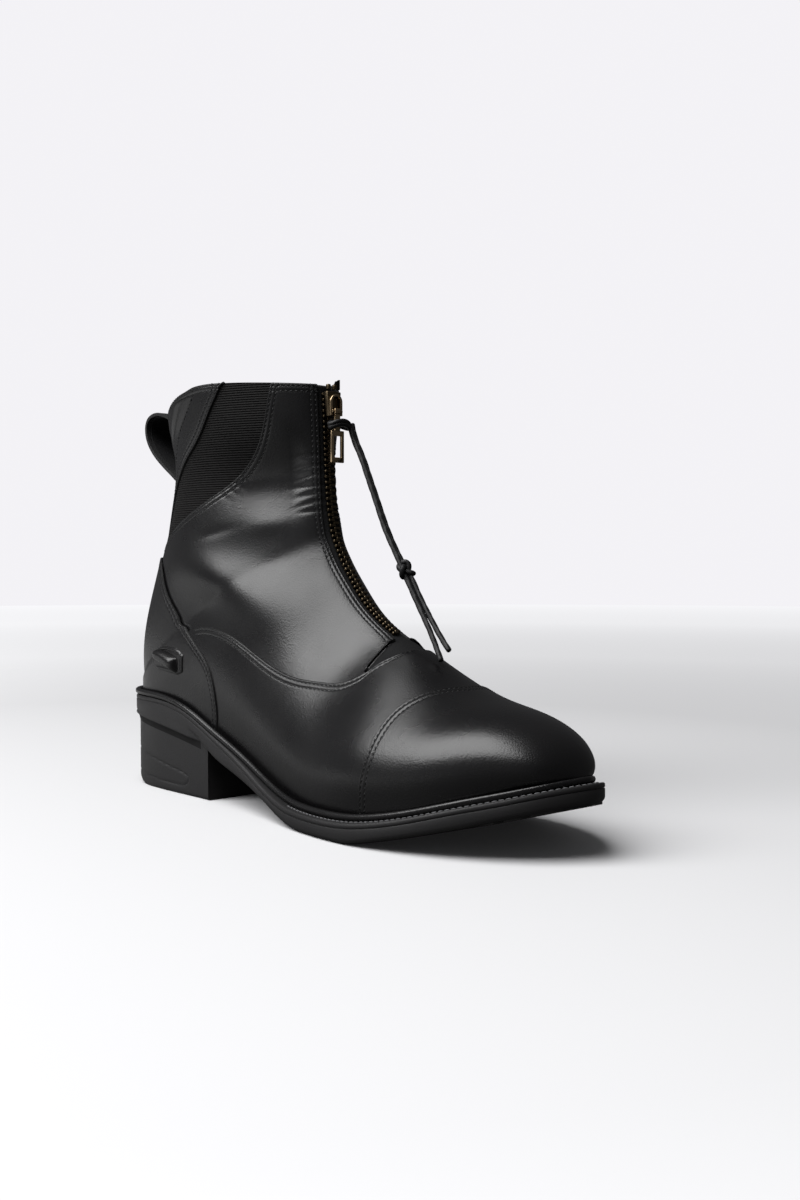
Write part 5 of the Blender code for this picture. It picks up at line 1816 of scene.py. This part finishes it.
face_out(zip_slider)
smooth_shade(zip_slider, 40)
slider_body = join("slider_wedge", [body, *stops])
face_out(slider_body)
smooth_shade(slider_body, 40)
for item in (zip_slider, slider_body):
    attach(item, "boot")
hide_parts("zip_slider")
print("slider made")


# %% [markdown]
# ## Pull tab
# The tab's barrel turns on the slider's pin. A short neck leads to a flat frame that fingers or the
# cord can hold. Its window is inset on both faces and bridged through.

# %% Pull tab
holder = block("tab_frame", (135.2, -3.5, 152.1), (136.6, 3.5, 166.1), 0)
only(holder)
bpy.ops.object.mode_set(mode="EDIT")
bpy.ops.mesh.select_mode(type="FACE")
bpy.ops.mesh.select_all(action="DESELECT")
bpy.ops.object.mode_set(mode="OBJECT")
for polygon in holder.data.polygons:
    polygon.select = abs(polygon.normal.x) > 0.9
bpy.ops.object.mode_set(mode="EDIT")
bpy.ops.mesh.inset(thickness=1.4 * MM, use_individual=True)
bpy.ops.transform.resize(value=(1.0, 1.0, 0.84))
bpy.ops.mesh.bridge_edge_loops()
bpy.ops.object.mode_set(mode="OBJECT")
apply_modifier(holder, "BEVEL", width=0.28 * MM, segments=2, limit_method="ANGLE")
neck = block("tab_neck", (135.3, -1.5, 165.3), (136.5, 1.5, 174.0), 0.3)
barrel = rod("tab_barrel", PIN, 1.5, 3.8)
pull_tab = join("pull_tab_brass", [holder, neck, barrel])
face_out(pull_tab)
smooth_shade(pull_tab, 40)
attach(pull_tab, "zip_tab")
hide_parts("zip_pull_tab")
print("pull tab", len(pull_tab.data.polygons), "faces")


# %% [markdown]
# ## Tape end
# The zip's tape isn't cut off level at the collar: it ends in a small corner that is folded aside. It is
# a patch between four corners, bulged a little.

# %% Tape end
TAPE_CORNER = [(130.6, 1.2, 185.0), (130.7, 5.6, 185.0), (131.0, 5.2, 189.4), (130.8, 3.0, 188.4)]
a, b, c, d = (np.array(p) for p in TAPE_CORNER)
s, t = np.meshgrid(np.linspace(0, 1, 9), np.linspace(0, 1, 9), indexing="ij")
s, t = s[..., None], t[..., None]
corner_points = (1 - t) * ((1 - s) * a + s * b) + t * ((1 - s) * d + s * c)
corner_points[..., 0] += 0.5 * np.sin(np.pi * s[..., 0]) * t[..., 0]
tape_end = grid_piece("tape_end_fold", corner_points)
apply_modifier(tape_end, "SOLIDIFY", thickness=0.8 * MM, offset=0.0, use_even_offset=False)
face_out(tape_end)
smooth_shade(tape_end, 50)
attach(tape_end, "boot")
print("tape end folded")


# %% [markdown]
# ## Pull loop
# A short strap at the back helps to pull the boot on. It is a grid on a listed route, thickened,
# with rounded edges. Its ends are laid on the back strip, where they are sewn.

# %% Pull loop
LOOP_ROUTE = [(26.9, 163.0), (25.6, 171.0), (20.5, 177.5), (13.0, 181.6), (5.0, 184.0), (-2.5, 184.0),
              (-7.6, 181.2), (-8.6, 176.0), (-4.8, 168.2), (4.6, 160.0), (14.0, 154.0), (21.5, 148.6),
              (26.6, 140.5)]
LOOP_SEAT = (4.0, 13.0)     # from the strap's end: sewn flat up to here, free from there
# places across the strap, closer towards its edges
LOOP_ACROSS = [-10, -9.95, -9.8, -9.5, -9.0, -8.2, -6, -3, 0, 3, 6, 8.2, 9.0, 9.5, 9.8, 9.95, 10.0]
route = np.array(LOOP_ROUTE)
loop_line = spline(lengths(route), route, np.linspace(0, lengths(route)[-1], 90))
loop_columns = []
for y in LOOP_ACROSS:
    loop_columns.append(np.stack([loop_line[:, 0], np.full(len(loop_line), y), loop_line[:, 1]], -1))
loop_points = np.stack(loop_columns, 1)
back_u = np.concatenate([np.linspace(-1, -0.7, 90), np.linspace(0.7, 1, 90)])
back_v, back_u = np.meshgrid(np.linspace(HEEL_POINT + 0.03, 1.0, 260), back_u, indexing="ij")
back_spots = surface(back_v, back_u).reshape(-1, 3)
loop_run = lengths(route)[-1] * np.linspace(0, 1, len(loop_line))
from_end = np.minimum(loop_run, loop_run[-1] - loop_run)
for row in np.nonzero(from_end < LOOP_SEAT[1])[0]:
    seated = 1 - smooth(from_end[row], *LOOP_SEAT)
    for spot in loop_points[row]:
        near = back_spots[np.argmin(((back_spots - spot)[:, 1:] ** 2).sum(-1))]
        spot[0] += seated * (near[0] - 1.5 - spot[0])
pull_loop = grid_piece("pull_loop_strap", loop_points)
apply_modifier(pull_loop, "SOLIDIFY", thickness=1.6 * MM, offset=0.0, use_even_offset=False)
apply_modifier(pull_loop, "BEVEL", width=0.5 * MM, segments=2, limit_method="ANGLE")
smooth_shade(pull_loop, 40)
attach(pull_loop, "boot")
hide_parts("pull_loop")
print("pull loop", round(loop_run[-1]), "mm long")


# %% [markdown]
# ## Webbing of the pull loop
# Inside, the strap is lined with ribbed webbing that doesn't stretch. It follows the strap a little
# further in, and stops short of the sewn ends.

# %% Webbing
WEB_RIBS = 23
WEB_ENDS = slice(10, -10)
loop_ahead = np.gradient(loop_line, axis=0)
loop_ahead /= np.linalg.norm(loop_ahead, axis=1)[:, None]
inner_line = loop_line + 1.0 * np.stack([-loop_ahead[:, 1], loop_ahead[:, 0]], -1)
web_y = np.linspace(-7.6, 7.6, WEB_RIBS)
web_rib = 0.12 * np.cos(np.arange(WEB_RIBS) * math.pi)
web_points = np.array([[(x, y, z) for y in web_y] for x, z in inner_line[WEB_ENDS]])
web_points[..., 0] += web_rib * -loop_ahead[WEB_ENDS, 1:2]
web_points[..., 2] += web_rib * loop_ahead[WEB_ENDS, :1]
loop_webbing = grid_piece("pull_loop_webbing", web_points)
apply_modifier(loop_webbing, "SOLIDIFY", thickness=0.7 * MM, offset=0.0, use_even_offset=False)
smooth_shade(loop_webbing, 50)
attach(loop_webbing, "boot")
print("webbing", len(loop_webbing.data.polygons), "faces")


# %% [markdown]
# ## One stitch
# What shows of a lock stitch is a short, rounded bead of thread between two needle holes. One bead is
# modelled. A row of frames says where each copy lies, and which way is aside, out and ahead.

# %% One stitch
THREAD = (0.7, 0.38, 0.3)   # half length, half width and half height of one stitch
PITCH = 2.3                 # from one stitch to the next
only()
bpy.ops.mesh.primitive_uv_sphere_add(segments=6, ring_count=5, radius=1)
stitch_points, stitch_faces = take_shape(bpy.context.object)


def along_row(at, run, rows):
    """A point, or a direction, at a distance along a row."""
    return np.array([np.interp(at, run, rows[:, k]) for k in range(3)])


def stitch_frames(points, outward, pitch=PITCH, size=THREAD, sink=0.0):
    """Frames along a row of points: the stitch's width, height and length as directions."""
    run = lengths(points)
    frames = []
    for at in np.arange(pitch / 2, run[-1], pitch):
        spot = along_row(at, run, points)
        out = along_row(at, run, outward)
        ahead = along_row(at + 0.4, run, points) - along_row(at - 0.4, run, points)
        ahead /= max(np.linalg.norm(ahead), 1e-9)
        out = out - ahead * np.dot(out, ahead)
        out /= max(np.linalg.norm(out), 1e-9)
        aside = np.cross(out, ahead)
        frames.append((spot - sink * out, (aside * size[1], out * size[2], ahead * size[0])))
    return frames


def lay_stitches(name, frames):
    """One piece with a copy of the bead in every frame."""
    item = scatter(name, [(spot + stitch_points @ np.array(axes), stitch_faces) for spot, axes in frames])
    smooth_shade(item, 45)
    return item


print("one stitch has", len(stitch_faces), "faces")


# %% [markdown]
# ## Stitches of the upper
# Two rows run in the channels of every folded edge, as a two-needle machine sews them. One more row
# holds the back strip's pad, and each spur rest is sewn round its rim. Between the stitches sit small
# dark blobs, painted shade that stands for the needle holes.

# %% Upper stitches
REST_PITCH = 1.9
REST_THREAD = (0.6, 0.26, 0.2)


def seam_rows(name, sides, edge):
    """Frames of both stitch rows along one folded edge of a panel."""
    frames = []
    for side in sides:
        points, outward = PANEL_ROWS[name, side]
        for row in STITCH_ROWS:
            if edge in ("front", "back"):
                column = row if edge == "front" else -1 - row
                sewn = SEWN[name, edge][:, 0] > 0.5
                frames += stitch_frames(points[sewn, column], outward[sewn, column])
            if edge == "start":
                frames += stitch_frames(points[row], outward[row])
            if edge == "end":
                frames += stitch_frames(points[-1 - row], outward[-1 - row])
    return frames


def on_panel(name, side, places):
    """Points of a line laid on a finished panel, and their outward directions."""
    points, outward = PANEL_ROWS[name, side]
    spots = surface(places[:, 0], side * places[:, 1])
    directions = normal(places[:, 0], side * places[:, 1])
    flat = points.reshape(-1, 3)
    raised = []
    for spot, direction in zip(spots, directions):
        nearest = flat[np.argmin(((flat - spot) ** 2).sum(1))]
        raised.append(spot + direction * np.dot(nearest - spot, direction))
    return np.array(raised), directions


SEWN_EDGES = (("toe_cap", "end"), ("vamp", "front"), ("counter", "front"), ("back_strip", "front"),
              ("back_strip", "start"))
thread_frames = []
for name, edge in SEWN_EDGES:
    thread_frames += seam_rows(name, BOTH, edge)
for side, word in SIDE_WORDS:
    for edge in ("front", "back", "start"):
        thread_frames += seam_rows("quarter_" + word, (side,), edge)
for side in BOTH:
    thread_frames += stitch_frames(*on_panel("back_strip", side, pad_line[2:]))
    points, outward = rest_rows[side]
    for i in (5, 75):
        thread_frames += stitch_frames(points[i, 7:42], outward[i, 7:42], REST_PITCH, REST_THREAD)
    for j in (6, 42):
        thread_frames += stitch_frames(points[6:75, j], outward[6:75, j], REST_PITCH, REST_THREAD)
upper_stitches = lay_stitches("upper_stitches", thread_frames)
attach(upper_stitches, "boot")
# painted shade: a small flat dark blob in front of each stitch stands for the shade in its needle hole
hole_shade_frames = []
for spot, (aside, rise, ahead) in thread_frames:
    hole_shade_frames.append((spot + ahead * 1.1, (aside * 0.55, rise * 0.5, ahead * 0.28)))
painted_hole_shades = lay_stitches("painted_hole_shades", hole_shade_frames)
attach(painted_hole_shades, "boot")
print("stitches of the upper", len(thread_frames))


# %% [markdown]
# ## Stitches of the welt
# Round the forefoot the welt is sewn to the sole with a thicker, paler thread. Its stitches lie on the
# ledge, beside the bead.

# %% Welt stitches
WELT_PITCH = 2.6
WELT_THREAD = (1.05, 0.36, 0.3)
FOREFOOT = 156.0            # the pale stitches run from here round the toe
ledge_ring = outline_ring(2.6, 400)
ledge_line = np.concatenate([ledge_ring, ledge(ledge_ring[:, 0])[:, None]], 1)
ledge_line = ledge_line[ledge_line[:, 0] > FOREFOOT]
up = np.tile(np.array((0.0, 0.0, 1.0)), (len(ledge_line), 1))
welt_frames = stitch_frames(ledge_line, up, WELT_PITCH, WELT_THREAD, -0.08)
welt_stitches = lay_stitches("welt_stitches", welt_frames)
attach(welt_stitches, "boot")
print("stitches of the welt", len(welt_frames))


# %% [markdown]
# ## Dressing the pieces
# Each piece now gets its finish. The leather panels already carry two: polished leather on the face and
# matt black paint on the cut edges, as a shoemaker inks the edges before sewing. The heel carries its
# own two as well.

# %% Dress
def wear(material, *items):
    """Gives these pieces one finish and no other."""
    for item in items:
        item.data.materials.clear()
        item.data.materials.append(material)


wear(black_leather, welt, *rest_blocks)
wear(elastic, *gore_pieces)
wear(tape_cloth, throat_gusset, zip_tape, tape_end, loop_webbing)
wear(lining_leather, lining, insole)
wear(rubber, outsole, tread)
wear(brass, zip_chain, slider_body)
wear(thread, upper_stitches)
wear(hole_shade, painted_hole_shades)
wear(pale_thread, welt_stitches)
wear(soft_leather, pull_loop)
wear(waxed_cord, cord_knot, cord_hitch, *cords.values())
wear(gold, zip_slider, pull_tab)
print("materials set")
